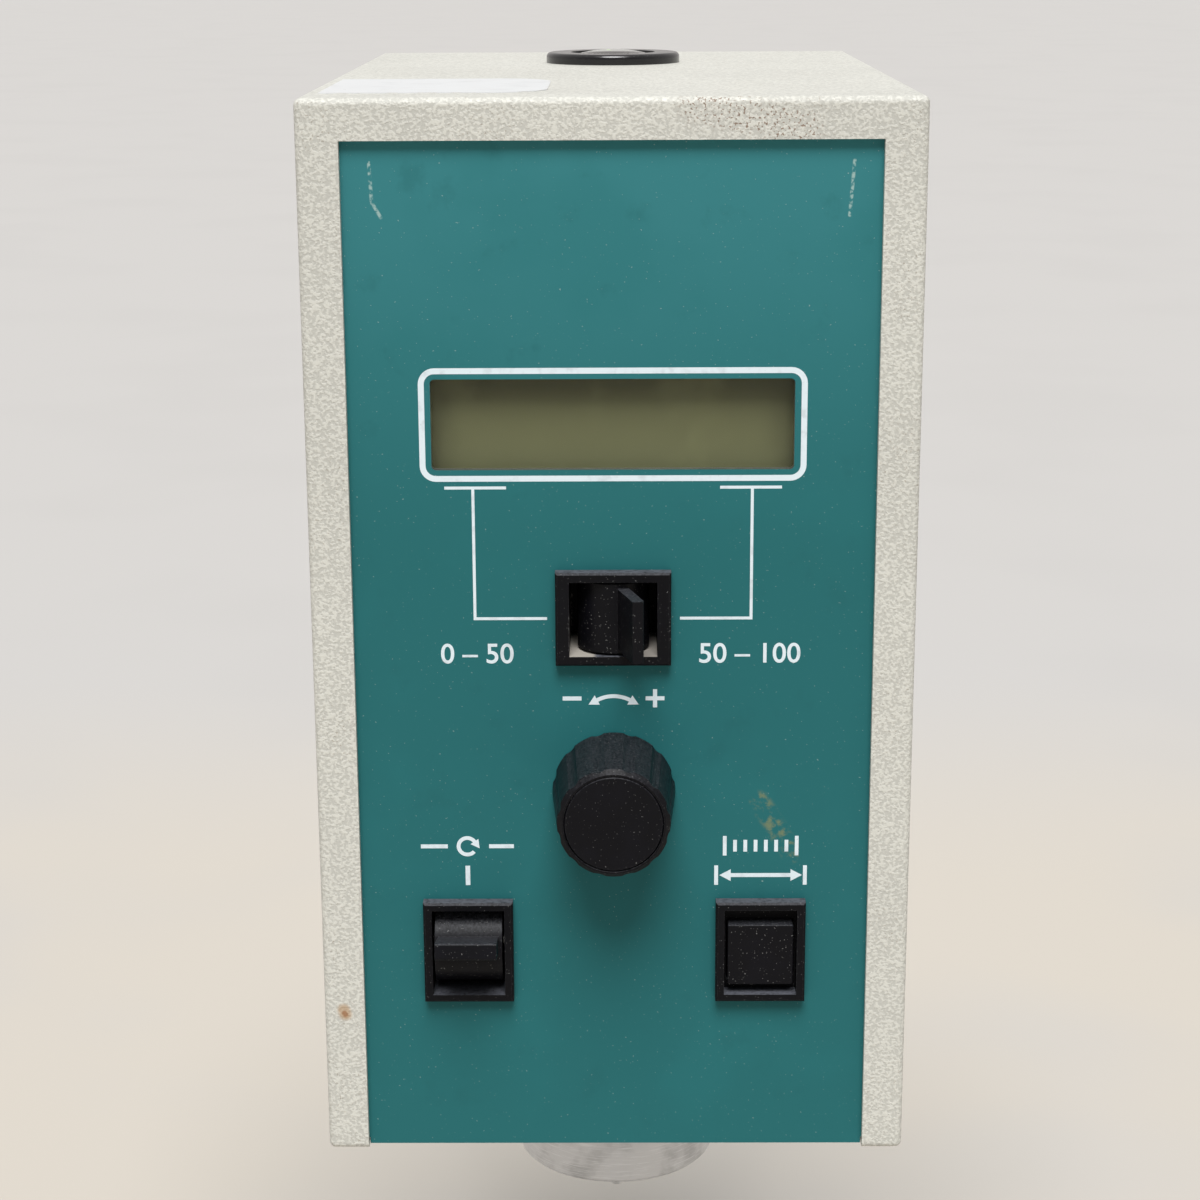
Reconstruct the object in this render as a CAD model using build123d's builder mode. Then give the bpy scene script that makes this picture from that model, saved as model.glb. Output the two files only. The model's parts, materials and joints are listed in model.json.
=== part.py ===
from build123d import *

import math
import os

# Rotational viscometer head, all sizes in millimetres.
# X runs to the right as seen from the front, Y runs rearward along the mounting rod, Z is up.
# The origin is on the axis of the mounting rod, at the outer face of the rear panel.
# Heights are counted from the bottom of the head and depths from the front of its lips.

# Head and its folded cover
head_width = 114.0
head_height = 206.0
head_depth = 175.0
rod_height = 60.0
sheet = 1.6
bend_radius = 1.3
side_lip = 7.9
top_lip = 7.6
fit_gap = 0.2
seat_gap = 0.05

# Cover screws and the angle brackets that take the upper ones
screw_radius = 1.5
screw_head_radius = 2.8
screw_head_height = 1.8
screw_length = 6.0
cover_screw_height = 8.0
cover_screw_front = 40.0
cover_screw_rear = 140.0
bracket_height = 18.0
bracket_reach = 14.0
bracket_sheet = 2.0
bracket_below_top = 14.0

# Chassis tray
tray_floor = 2.0
tray_flange = 12.0

# Front panel and its printed film
film_thickness = 0.25
plate_thickness = 2.0
panel_bottom_gap = 0.5

# Display
window_width = 67.4
window_height = 17.1
window_z = 146.3
window_corner = 0.8
window_thickness = 1.5
display_width = 76.0
display_height = 25.0
display_frame_depth = 4.5
display_view_margin = 1.0
display_glass = 2.0
display_board_width = 84.0
display_board_height = 36.0
display_board_thickness = 1.6
display_hole_inset = 2.6
spacer_radius = 2.2
small_screw_radius = 1.1
small_head_radius = 2.0
small_head_height = 1.4

# Switch housings that stand in the panel
rim_depth = 2.7
rim_overlap = 1.1
rim_bevel = 0.4
housing_wall = 1.0
housing_depth = 17.0
terminal_width = 2.8
terminal_thickness = 0.8
terminal_length = 6.0
terminal_pitch = 4.7

# Selector switch, a paddle that turns about an upright pin
selector_z = 109.55
selector_rim_width = 21.8
selector_rim_height = 18.1
selector_opening_width = 16.6
selector_opening_height = 14.4
selector_drum_radius = 6.8
selector_drum_height = 13.4
selector_fin_height = 11.8
selector_fin_thickness = 2.2
selector_throw = 16.0

# Motor switch, the same kind of paddle on a level pin
lower_switch_z = 42.35
lower_switch_x = 28.4
lower_rim_width = 17.4
lower_rim_height = 20.6
lower_opening_width = 14.1
lower_opening_height = 17.5
motor_drum_radius = 8.0
motor_drum_width = 13.1
motor_fin_thickness = 3.2
motor_fin_width = 11.8
motor_throw = 14.0

# Paddle drums and their pins
drum_depth = 7.3
fin_reach = 17.0
fin_edge_radius = 0.4
pin_radius = 1.0
pin_clearance = 0.06
pin_seat = 0.6

# Range button
button_width = 12.8
button_height = 12.4
button_below_centre = 0.65
button_recess = 0.5
button_guide_gap = 0.15
button_guide_depth = 3.5
button_guide_length = 6.0
button_length = 9.5
button_edge_radius = 0.5
button_front_round = 0.25
button_spring_radius = 3.6
button_spring_wire = 0.35
button_spring_turns = 4

# Knob and rotary encoder
knob_z = 74.9
knob_base_radius = 11.8
knob_front_radius = 10.5
knob_height = 18.9
knob_panel_gap = 0.5
knob_bevel = 0.8
knob_flutes = 12
knob_flute_radius = 3.0
knob_flute_depth = 0.3
knob_recess_radius = 8.6
knob_recess_depth = 5.0
knob_cap_radius = 9.3
knob_cap_thickness = 1.2
knob_cap_edge = 0.3
encoder_width = 14.0
encoder_depth = 8.0
encoder_corner = 1.0
encoder_bore_depth = 4.0
encoder_bush_radius = 3.6
encoder_bush_length = 6.0
encoder_shaft_radius = 3.0
encoder_shaft_length = 12.5
encoder_nut_flats = 11.0
encoder_nut_height = 2.2
encoder_washer_radius = 6.4
encoder_washer_thickness = 0.6

# Round spirit level on top
level_depth = 125.0
level_ring_radius = 15.0
level_ring_height = 2.3
level_ring_round = 1.0
level_sleeve_radius = 11.0
level_sleeve_wall = 1.5
level_sleeve_length = 9.0
level_glass_wall = 1.2
level_glass_sink = 0.8
level_glass_top_wall = 0.6
level_dome_rise = 1.4
level_bubble_radius = 2.8
level_bubble_offset = 0.9
level_nut_width = 3.0
level_nut_height = 2.5

# Rear panel and mounting rod
rear_thickness = 3.0
rod_radius = 6.35
rod_length = 100.0
rod_chamfer = 1.0
rod_block_width = 38.0
rod_block_depth = 12.0
rod_spigot_radius = 5.0
rod_screw_pitch = 28.0

# Power inlet and power switch
inlet_below_block = 4.1
inlet_from_edge = 28.2
inlet_flange_width = 31.0
inlet_flange_height = 24.5
inlet_flange_depth = 3.0
inlet_flange_corner = 2.0
inlet_body_width = 27.0
inlet_body_height = 19.8
inlet_body_depth = 20.0
inlet_socket_width = 24.0
inlet_socket_height = 16.2
inlet_socket_depth = 17.0
inlet_socket_chamfer = 4.5
inlet_blade_width = 4.0
inlet_blade_thickness = 2.0
inlet_blade_length = 11.0
inlet_blade_pitch = 7.0
inlet_blade_drop = 2.0
power_rim_width = 15.0
power_rim_height = 21.0
power_rim_depth = 2.0
power_opening_width = 10.8
power_opening_height = 16.4
power_body_depth = 12.0
rocker_width = 10.2
rocker_radius = 7.8
rocker_face = 4.4
rocker_throw = 12.0
rocker_depth = 3.2

# Torsion drive: two plates on pillars around the measuring axis
axis_depth = 66.0
drive_plate_width = 70.0
drive_plate_thickness = 5.0
drive_plate_margin = 7.0
drive_plate_corner = 3.0
pillar_x = 29.0
pillar_front = 26.0
pillar_rear = 56.0
pillar_radius = 4.0
pillar_length = 52.0
pillar_bore = 1.5

# Drive shaft, bushes and gears
drive_shaft_radius = 5.0
drive_shaft_bore = 2.6
drive_shaft_drop = 22.0
bush_radius = 8.0
bush_flange_radius = 10.0
bush_flange = 1.2
running_clearance = 0.05
gear_module = 0.6
gear_teeth = 80
pinion_teeth = 16
gear_width = 4.0
gear_hub_radius = 9.0
gear_hub_height = 2.0
gear_rim = 3.0
gear_web = 1.6
gear_spokes = 5
gear_spoke_width = 4.0
gear_backlash = 0.12
pressure_angle = 20.0
dedendum = 1.3
flank_steps = 3

# Stepper motor under the upper plate
stepper_width = 42.0
stepper_length = 34.0
stepper_corner = 4.0
stepper_cap = 8.0
stepper_core_step = 0.5
stepper_boss_radius = 11.0
stepper_boss_height = 2.0
stepper_hole_pitch = 31.0
pinion_shaft_radius = 2.5
pinion_width = 6.0

# Spiral spring between the drive gear and the pivot shaft
spring_hub_radius = 4.0
spring_hub_height = 8.0
spring_hub_lift = 1.5
spring_post_radius = 1.5
spring_post_place = 18.6
spring_post_height = 9.0
spring_turns = 5
spring_thickness = 0.35
spring_width = 5.0
spring_lift = 3.5

# Pivot shaft, jewel and spindle coupling
pivot_radius = 1.6
pivot_collar_radius = 2.2
pivot_collar_height = 2.0
jewel_radius = 3.4
jewel_thickness = 2.0
coupling_radius = 3.0
coupling_length = 9.0
coupling_grooves = 12
coupling_groove_radius = 0.3
coupling_drop = 6.0
thread_radius = 1.25
thread_length = 5.0
thread_chamfer = 0.3

# Pivot cup under the head
cup_radius = 21.5
cup_reach = 31.2
cup_wall = 3.0
cup_floor = 3.0
cup_hole_radius = 5.5
cup_edge = 0.8
cup_screw_radius = 1.25
cup_screw_head = 2.3
cup_screw_count = 3

# Angle transducer above the spring
bridge_pillar_radius = 3.0
bridge_height = 21.0
bridge_width = 24.0
bridge_thickness = 3.0
bridge_hole_radius = 5.0
stator_radius = 19.0
stator_bore = 12.0
stator_height = 12.0
rotor_gap = 0.5
rotor_height = 8.0
rotor_bore_lift = 2.0

# Circuit board on the rear panel
board_width = 92.0
board_height = 60.0
board_thickness = 1.6
board_below_top = 60.0
board_standoff = 9.0
board_standoff_radius = 3.0
board_hole_inset = 5.0
transformer_width = 44.0
transformer_height = 37.0
transformer_depth = 34.0
transformer_bobbin_width = 30.0
transformer_bobbin_height = 31.0
transformer_bobbin_depth = 28.0
transformer_x = 18.0
transformer_rise = 6.0
chip_places = [(-28.0, 20.0, 14.0, 14.0), (-28.0, 0.0, 20.0, 7.6), (-10.0, 18.0, 7.6, 10.0)]
chip_height = 3.4
connector_width = 22.0
connector_height = 6.0
connector_pitch = 30.0
connector_depth = 9.0

# Planes and places that several pieces share
front_y = -head_depth
base_z = -rod_height
top_z = base_z + head_height
half_inside = head_width / 2 - sheet
film_y = front_y + sheet
plate_y = film_y + film_thickness
plate_back_y = plate_y + plate_thickness
rim_front_y = film_y - rim_depth
drum_y = rim_front_y + drum_depth
tray_z = base_z + sheet
tray_top_z = tray_z + tray_floor
axis_y = front_y + axis_depth
lower_plate_top = tray_top_z + drive_plate_thickness
upper_plate_z = lower_plate_top + pillar_length
upper_plate_top = upper_plate_z + drive_plate_thickness
gear_z = upper_plate_top + bush_flange + seat_gap + gear_hub_height
gear_top_z = gear_z + gear_width
centre_distance = gear_module * (gear_teeth + pinion_teeth) / 2
stepper_y = axis_y + centre_distance
cup_bottom_z = base_z - cup_reach
shaft_bottom_z = base_z - drive_shaft_drop
bridge_z = upper_plate_top + bridge_height
stator_z = bridge_z + bridge_thickness
plate_front_edge = axis_y - pillar_front - drive_plate_margin
plate_rear_edge = axis_y + pillar_rear + drive_plate_margin
selector_height = base_z + selector_z
switch_height = base_z + lower_switch_z
knob_height_z = base_z + knob_z
window_height_z = base_z + window_z
power_height = -(rod_block_width / 2 + inlet_below_block + inlet_body_height / 2)
inlet_x = half_inside - fit_gap - inlet_from_edge

os.makedirs("parts", exist_ok=True)


def facing(y):
    """The upright plane at this Y: its normal looks forward, its own y is up."""
    return Plane.XZ.offset(-y)


def cylinder_along_y(radius, y_from, y_to, x=0.0, z=0.0):
    """A round solid along Y, used for bores and shanks."""
    with BuildPart() as rod:
        with BuildSketch(facing(y_to)):
            with Locations((x, z)):
                Circle(radius)
        extrude(amount=y_to - y_from)
    return rod.part


def save(part, name):
    """Label a finished piece and write it."""
    part.label = name
    export_step(part, f"parts/{name}.step")


# Cover: top, sides and their lips folded from one sheet, open behind
opening_width = head_width - 2 * side_lip
opening_height = head_height - top_lip
cover_screw_places = [(cover_screw_front, cover_screw_height), (cover_screw_rear, cover_screw_height)]
bracket_z = top_z - bracket_below_top
bracket_y = -rear_thickness - bracket_reach / 2
level_y = front_y + level_depth
side_screw_points = [(front_y + depth, base_z + height) for depth, height in cover_screw_places]
side_screw_points.append((bracket_y, bracket_z))

with BuildPart() as cover:
    with BuildSketch(Plane.XY.offset(base_z)):
        with Locations((0, front_y / 2)):
            Rectangle(head_width, head_depth)
    extrude(amount=head_height)
    rear_edges = cover.faces().sort_by(Axis.Y)[-1].edges()
    fillet(cover.edges() - rear_edges, radius=bend_radius)
    with BuildSketch(Plane.XY.offset(base_z + sheet)):
        with Locations((0, (front_y + sheet) / 2)):
            Rectangle(head_width - 2 * sheet, head_depth - sheet)
    extrude(amount=head_height - 2 * sheet, mode=Mode.SUBTRACT)
    with BuildSketch(facing(front_y)):
        with Locations((0, base_z + opening_height / 2)):
            Rectangle(opening_width, opening_height)
    extrude(amount=-sheet, mode=Mode.SUBTRACT)
    with BuildSketch(Plane.XY.offset(base_z)):
        with Locations((0, front_y / 2)):
            Rectangle(opening_width, head_depth)
    extrude(amount=sheet, mode=Mode.SUBTRACT)
    with BuildSketch(Plane.XY.offset(top_z)):
        with Locations((0, level_y)):
            Circle(level_sleeve_radius + seat_gap)
    extrude(amount=-sheet, mode=Mode.SUBTRACT)
    with BuildSketch(Plane.YZ.offset(-head_width / 2)):
        with Locations(*side_screw_points):
            Circle(screw_radius + seat_gap)
    extrude(amount=head_width, mode=Mode.SUBTRACT)
save(cover.part, "cover")

# Chassis tray: it lies on the cover's lower lips and carries the drive and the cup
tray_half_width = half_inside - fit_gap
tray_front = plate_back_y
tray_rear = -rear_thickness
tray_length = tray_rear - tray_front
tray_middle = (tray_front + tray_rear) / 2
pillar_points = [
    (side * pillar_x, axis_y + along)
    for side in (-1, 1)
    for along in (-pillar_front, pillar_rear)
]
cup_screw_place = cup_radius - cup_wall / 2

with BuildPart() as chassis_tray:
    with BuildSketch(Plane.XY.offset(tray_z)):
        with Locations((0, tray_middle)):
            Rectangle(2 * tray_half_width, tray_length)
    extrude(amount=tray_flange)
    with BuildSketch(Plane.XY.offset(tray_top_z)):
        with Locations((0, tray_middle)):
            Rectangle(2 * (tray_half_width - tray_floor), tray_length - 2 * tray_floor)
    extrude(amount=tray_flange, mode=Mode.SUBTRACT)
    with BuildSketch(Plane.XY.offset(tray_z)):
        with Locations((0, axis_y)):
            Circle(bush_flange_radius + fit_gap)
            with PolarLocations(cup_screw_place, cup_screw_count, start_angle=90):
                Circle(cup_screw_radius + seat_gap)
    extrude(amount=tray_floor, mode=Mode.SUBTRACT)
    with BuildSketch(Plane.YZ.offset(-tray_half_width)):
        with Locations(*side_screw_points[:2]):
            Circle(screw_radius + seat_gap)
    extrude(amount=2 * tray_half_width, mode=Mode.SUBTRACT)
save(chassis_tray.part, "chassis_tray")

# Angle brackets on the rear panel for the upper cover screws
with BuildPart() as rear_brackets:
    with BuildSketch(Plane.XY.offset(bracket_z - bracket_height / 2)):
        for side in (-1, 1):
            with Locations((side * (half_inside - fit_gap - bracket_sheet / 2), bracket_y)):
                Rectangle(bracket_sheet, bracket_reach)
            foot_x = side * (half_inside - fit_gap - bracket_reach / 2)
            with Locations((foot_x, -rear_thickness - bracket_sheet / 2)):
                Rectangle(bracket_reach, bracket_sheet)
    extrude(amount=bracket_height)
    with BuildSketch(Plane.YZ.offset(-head_width / 2)):
        with Locations((bracket_y, bracket_z)):
            Circle(screw_radius + seat_gap)
    extrude(amount=head_width, mode=Mode.SUBTRACT)
save(rear_brackets.part, "rear_brackets")

# Cover screws: round heads on the outside of both walls
with BuildPart() as cover_screws:
    for side in (-1, 1):
        wall = Plane.YZ.offset(side * head_width / 2)
        outward = side
        with BuildSketch(wall):
            with Locations(*side_screw_points):
                Circle(screw_head_radius)
        extrude(amount=outward * screw_head_height)
        with BuildSketch(wall):
            with Locations(*side_screw_points):
                Circle(screw_radius)
        extrude(amount=-outward * screw_length)

# Outline of the front panel: full width inside the cover, and a tongue between the lower lips
panel_top = top_z - sheet - fit_gap
panel_shoulder = base_z + sheet + fit_gap
panel_bottom = base_z + panel_bottom_gap
panel_half = half_inside - fit_gap
tongue_half = opening_width / 2 - fit_gap
panel_outline = [
    (-tongue_half, panel_bottom),
    (tongue_half, panel_bottom),
    (tongue_half, panel_shoulder),
    (panel_half, panel_shoulder),
    (panel_half, panel_top),
    (-panel_half, panel_top),
    (-panel_half, panel_shoulder),
    (-tongue_half, panel_shoulder),
]
switch_cuts = [
    (0, selector_height, selector_rim_width, selector_rim_height),
    (-lower_switch_x, switch_height, lower_rim_width, lower_rim_height),
    (lower_switch_x, switch_height, lower_rim_width, lower_rim_height),
]


def panel_sheet(y_front, thickness, window_margin):
    """A sheet with the panel's outline, its window, switch cut-outs and encoder hole."""
    with BuildPart() as panel:
        with BuildSketch(facing(y_front)):
            with BuildLine():
                Polyline(*panel_outline, close=True)
            make_face()
            with Locations((0, window_height_z)):
                RectangleRounded(
                    window_width + 2 * window_margin,
                    window_height + 2 * window_margin,
                    window_corner,
                    mode=Mode.SUBTRACT,
                )
            for x, z, width, height in switch_cuts:
                with Locations((x, z)):
                    Rectangle(
                        width - 2 * rim_overlap + 2 * seat_gap,
                        height - 2 * rim_overlap + 2 * seat_gap,
                        mode=Mode.SUBTRACT,
                    )
            with Locations((0, knob_height_z)):
                Circle(encoder_bush_radius + seat_gap, mode=Mode.SUBTRACT)
        extrude(amount=-thickness)
    return panel.part


save(panel_sheet(film_y, film_thickness, 0), "panel_film")
save(panel_sheet(plate_y, plate_thickness, seat_gap), "front_plate")

# Display window, set in the plate just behind the film
with BuildPart() as display_window:
    with BuildSketch(facing(plate_y)):
        with Locations((0, window_height_z)):
            RectangleRounded(window_width, window_height, window_corner)
    extrude(amount=-window_thickness)
save(display_window.part, "display_window")

# Display module: metal frame, glass, board, spacers and screws
display_view_width = window_width + 2 * display_view_margin
display_view_height = window_height + 2 * display_view_margin
display_board_y = plate_back_y + display_frame_depth
display_holes = GridLocations(
    display_board_width - 2 * display_hole_inset,
    display_board_height - 2 * display_hole_inset,
    2,
    2,
)
display_hole_points = [
    (place.position.X, window_height_z + place.position.Y) for place in display_holes
]

with BuildPart() as display_frame:
    with BuildSketch(facing(plate_back_y)):
        with Locations((0, window_height_z)):
            Rectangle(display_width, display_height)
    extrude(amount=-display_frame_depth)
    with BuildSketch(facing(plate_back_y)):
        with Locations((0, window_height_z)):
            Rectangle(display_view_width, display_view_height)
    extrude(amount=-display_frame_depth, mode=Mode.SUBTRACT)
save(display_frame.part, "display_frame")

with BuildPart() as display_glass_plate:
    with BuildSketch(facing(display_board_y)):
        with Locations((0, window_height_z)):
            Rectangle(display_view_width - 2 * seat_gap, display_view_height - 2 * seat_gap)
    extrude(amount=display_glass)
save(display_glass_plate.part, "display_glass")

with BuildPart() as display_board:
    with BuildSketch(facing(display_board_y)):
        with Locations((0, window_height_z)):
            Rectangle(display_board_width, display_board_height)
        with Locations(*display_hole_points):
            Circle(small_screw_radius + seat_gap, mode=Mode.SUBTRACT)
    extrude(amount=-display_board_thickness)
save(display_board.part, "display_board")

with BuildPart() as display_spacers:
    with BuildSketch(facing(plate_back_y)):
        with Locations(*display_hole_points):
            Circle(spacer_radius)
    extrude(amount=-display_frame_depth)
    with BuildSketch(facing(plate_back_y)):
        with Locations(*display_hole_points):
            Circle(small_screw_radius + seat_gap)
    extrude(amount=-display_frame_depth, mode=Mode.SUBTRACT)

display_board_back = display_board_y + display_board_thickness
with BuildPart() as display_screws:
    with BuildSketch(facing(display_board_back)):
        with Locations(*display_hole_points):
            Circle(small_head_radius)
    extrude(amount=-small_head_height)
    with BuildSketch(facing(display_board_back)):
        with Locations(*display_hole_points):
            Circle(small_screw_radius)
    extrude(amount=display_board_thickness + display_frame_depth)


def switch_housing(x, z, rim_width, rim_height, opening_wide, opening_high):
    """A moulded switch housing: a bevelled rim on the panel and a box behind it."""
    back_y = rim_front_y + housing_depth
    with BuildPart() as housing:
        with BuildSketch(facing(film_y)):
            with Locations((x, z)):
                Rectangle(rim_width, rim_height)
        extrude(amount=rim_depth)
        rim_face = housing.faces().sort_by(Axis.Y)[0]
        chamfer(rim_face.edges(), length=rim_bevel)
        with BuildSketch(facing(film_y)):
            with Locations((x, z)):
                Rectangle(rim_width - 2 * rim_overlap, rim_height - 2 * rim_overlap)
        extrude(amount=-(back_y + housing_wall - film_y))
        with BuildSketch(facing(rim_front_y)):
            with Locations((x, z)):
                Rectangle(opening_wide, opening_high)
        extrude(amount=-housing_depth, mode=Mode.SUBTRACT)
    return housing.part


def paddle_pin_bore(along_x, x, z, radius, length):
    """The pivot pin's solid, upright or level, centred on the drum axis."""
    base = Plane.YZ.offset(x - length / 2) if along_x else Plane.XY.offset(z - length / 2)
    centre = (drum_y, z) if along_x else (x, drum_y)
    with BuildPart() as pin:
        with BuildSketch(base):
            with Locations(centre):
                Circle(radius)
        extrude(amount=length)
    return pin.part


def terminals(x, z, count):
    """Solder tags on the back of a switch housing."""
    back_y = rim_front_y + housing_depth + housing_wall
    with BuildPart() as tags:
        with BuildSketch(facing(back_y)):
            with Locations((x, z)):
                with GridLocations(0, terminal_pitch, 1, count):
                    Rectangle(terminal_width, terminal_thickness)
        extrude(amount=-terminal_length)
    return tags.part


# Selector: housing, pin, tags and paddle, thrown to the right
selector_pin_length = selector_opening_height + 2 * pin_seat
selector_shell = switch_housing(
    0,
    selector_height,
    selector_rim_width,
    selector_rim_height,
    selector_opening_width,
    selector_opening_height,
)
selector_pin_solid = paddle_pin_bore(False, 0, selector_height, pin_radius, selector_pin_length)
save(selector_shell - selector_pin_solid, "selector_housing")

with BuildPart() as selector_paddle:
    with BuildSketch(Plane.XY.offset(selector_height - selector_drum_height / 2)):
        with Locations((0, drum_y)):
            Circle(selector_drum_radius)
    extrude(amount=selector_drum_height)
    with BuildSketch(Plane.XY.offset(selector_height - selector_fin_height / 2)):
        with Locations(Location((0, drum_y), selector_throw)):
            with Locations((0, -fin_reach / 2)):
                RectangleRounded(selector_fin_thickness, fin_reach, fin_edge_radius)
    extrude(amount=selector_fin_height)
    with BuildSketch(Plane.XY.offset(selector_height - selector_drum_height / 2)):
        with Locations((0, drum_y)):
            Circle(pin_radius + pin_clearance)
    extrude(amount=selector_drum_height, mode=Mode.SUBTRACT)
save(selector_paddle.part, "selector_paddle")

# Motor switch: the same on a level pin, its fin tipped up
motor_pin_length = lower_opening_width + 2 * pin_seat
motor_shell = switch_housing(
    -lower_switch_x,
    switch_height,
    lower_rim_width,
    lower_rim_height,
    lower_opening_width,
    lower_opening_height,
)
motor_pin_solid = paddle_pin_bore(True, -lower_switch_x, switch_height, pin_radius, motor_pin_length)
save(motor_shell - motor_pin_solid, "motor_switch_housing")

with BuildPart() as motor_paddle:
    with BuildSketch(Plane.YZ.offset(-lower_switch_x - motor_drum_width / 2)):
        with Locations((drum_y, switch_height)):
            Circle(motor_drum_radius)
    extrude(amount=motor_drum_width)
    with BuildSketch(Plane.YZ.offset(-lower_switch_x - motor_fin_width / 2)):
        with Locations(Location((drum_y, switch_height), -motor_throw)):
            with Locations((-fin_reach / 2, 0)):
                RectangleRounded(fin_reach, motor_fin_thickness, fin_edge_radius)
    extrude(amount=motor_fin_width)
    with BuildSketch(Plane.YZ.offset(-lower_switch_x - motor_drum_width / 2)):
        with Locations((drum_y, switch_height)):
            Circle(pin_radius + pin_clearance)
    extrude(amount=motor_drum_width, mode=Mode.SUBTRACT)
save(motor_paddle.part, "motor_paddle")

# Range button: a square cap that slides in a guide behind the rim, on a coil spring
button_z = switch_height - button_below_centre
button_front_y = rim_front_y + button_recess
button_back_y = button_front_y + button_length
button_floor_y = rim_front_y + housing_depth
guide_width = button_width + 2 * button_guide_gap
guide_height = button_height + 2 * button_guide_gap

with BuildPart() as range_guide:
    with BuildSketch(facing(rim_front_y + button_guide_depth)):
        with Locations((lower_switch_x, switch_height)):
            Rectangle(lower_opening_width, lower_opening_height)
        with Locations((lower_switch_x, button_z)):
            Rectangle(guide_width, guide_height, mode=Mode.SUBTRACT)
    extrude(amount=-button_guide_length)
range_shell = switch_housing(
    lower_switch_x,
    switch_height,
    lower_rim_width,
    lower_rim_height,
    lower_opening_width,
    lower_opening_height,
)
save(range_shell + range_guide.part, "range_button_housing")

with BuildPart() as switch_terminals:
    add(terminals(0, selector_height, 3))
    add(terminals(-lower_switch_x, switch_height, 3))
    add(terminals(lower_switch_x, switch_height, 2))
save(switch_terminals.part, "switch_terminals")

with BuildPart() as range_button:
    with BuildSketch(facing(button_back_y)):
        with Locations((lower_switch_x, button_z)):
            RectangleRounded(button_width, button_height, button_edge_radius)
    extrude(amount=button_length)
    front_face = range_button.faces().sort_by(Axis.Y)[0]
    fillet(front_face.edges(), radius=button_front_round)
save(range_button.part, "range_button")

spring_room = button_floor_y - button_back_y - 2 * seat_gap - button_spring_wire * 2
with BuildPart() as button_spring:
    coil_start = button_back_y + seat_gap + button_spring_wire
    with BuildLine() as coil_line:
        Helix(
            pitch=spring_room / button_spring_turns,
            height=spring_room,
            radius=button_spring_radius,
            center=(lower_switch_x, coil_start, button_z),
            direction=(0, 1, 0),
        )
    with BuildSketch(Plane(origin=coil_line.line @ 0, z_dir=coil_line.line % 0)):
        RegularPolygon(button_spring_wire, 6)
    sweep(path=coil_line.line, is_frenet=True)
save(button_spring.part, "button_spring")

# Rotary encoder behind the panel
encoder_bush_front = plate_back_y - encoder_bush_length
encoder_back_y = plate_back_y + encoder_depth
encoder_shaft_front = encoder_bush_front - encoder_shaft_length + encoder_bush_length
washer_y = film_y - encoder_washer_thickness

with BuildPart() as encoder_body:
    with BuildSketch(facing(plate_back_y)):
        with Locations((0, knob_height_z)):
            RectangleRounded(encoder_width, encoder_width, encoder_corner)
    extrude(amount=-encoder_depth)
    with BuildSketch(facing(plate_back_y)):
        with Locations((0, knob_height_z)):
            Circle(encoder_bush_radius)
    extrude(amount=encoder_bush_length)
    with BuildSketch(facing(encoder_bush_front)):
        with Locations((0, knob_height_z)):
            Circle(encoder_shaft_radius + running_clearance)
    extrude(amount=-(encoder_bush_length + encoder_bore_depth), mode=Mode.SUBTRACT)
save(encoder_body.part, "encoder_body")

with BuildPart() as encoder_washer:
    with BuildSketch(facing(film_y)):
        with Locations((0, knob_height_z)):
            Circle(encoder_washer_radius)
            Circle(encoder_bush_radius + seat_gap, mode=Mode.SUBTRACT)
    extrude(amount=encoder_washer_thickness)
save(encoder_washer.part, "encoder_washer")

with BuildPart() as encoder_nut:
    with BuildSketch(facing(washer_y)):
        with Locations((0, knob_height_z)):
            RegularPolygon(encoder_nut_flats / 2, 6, major_radius=False)
            Circle(encoder_bush_radius + seat_gap, mode=Mode.SUBTRACT)
    extrude(amount=encoder_nut_height)
save(encoder_nut.part, "encoder_nut")

encoder_shaft = cylinder_along_y(
    encoder_shaft_radius,
    encoder_shaft_front,
    plate_back_y + encoder_bore_depth - seat_gap,
    z=knob_height_z,
)
save(encoder_shaft, "encoder_shaft")

# Knob: a tapered, fluted skirt with a bevelled front edge and a recess over the nut
knob_back_y = film_y - knob_panel_gap
knob_front_y = knob_back_y - knob_height
knob_cap_back = knob_front_y + knob_cap_thickness


def knob_section(y, radius):
    """A cross-section of the skirt: a circle with its flutes, one ridge at the top."""
    flute_place = radius + knob_flute_radius - knob_flute_depth
    with BuildSketch(facing(y)) as section:
        with Locations((0, knob_height_z)):
            Circle(radius)
            with PolarLocations(flute_place, knob_flutes, start_angle=90 + 180 / knob_flutes):
                Circle(knob_flute_radius, mode=Mode.SUBTRACT)
    return section.sketch


with BuildPart() as select_knob:
    add(knob_section(knob_back_y, knob_base_radius))
    add(knob_section(knob_front_y, knob_front_radius))
    loft(ruled=True)
    knob_edge_z = knob_height_z + knob_front_radius
    with BuildSketch(Plane.YZ):
        with BuildLine():
            Polyline(
                (knob_front_y, knob_edge_z - knob_bevel),
                (knob_front_y + 2 * knob_bevel, knob_edge_z + knob_bevel),
                (knob_front_y, knob_edge_z + knob_bevel),
                close=True,
            )
        make_face()
    revolve(axis=Axis((0, 0, knob_height_z), (0, 1, 0)), mode=Mode.SUBTRACT)
    with BuildSketch(facing(knob_back_y)):
        with Locations((0, knob_height_z)):
            Circle(knob_recess_radius)
    extrude(amount=knob_recess_depth, mode=Mode.SUBTRACT)
    with BuildSketch(facing(knob_back_y)):
        with Locations((0, knob_height_z)):
            Circle(encoder_shaft_radius + seat_gap)
    extrude(amount=knob_back_y - encoder_shaft_front + seat_gap, mode=Mode.SUBTRACT)
    with BuildSketch(facing(knob_front_y)):
        with Locations((0, knob_height_z)):
            Circle(knob_cap_radius + seat_gap)
    extrude(amount=-knob_cap_thickness, mode=Mode.SUBTRACT)
save(select_knob.part, "select_knob")

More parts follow.
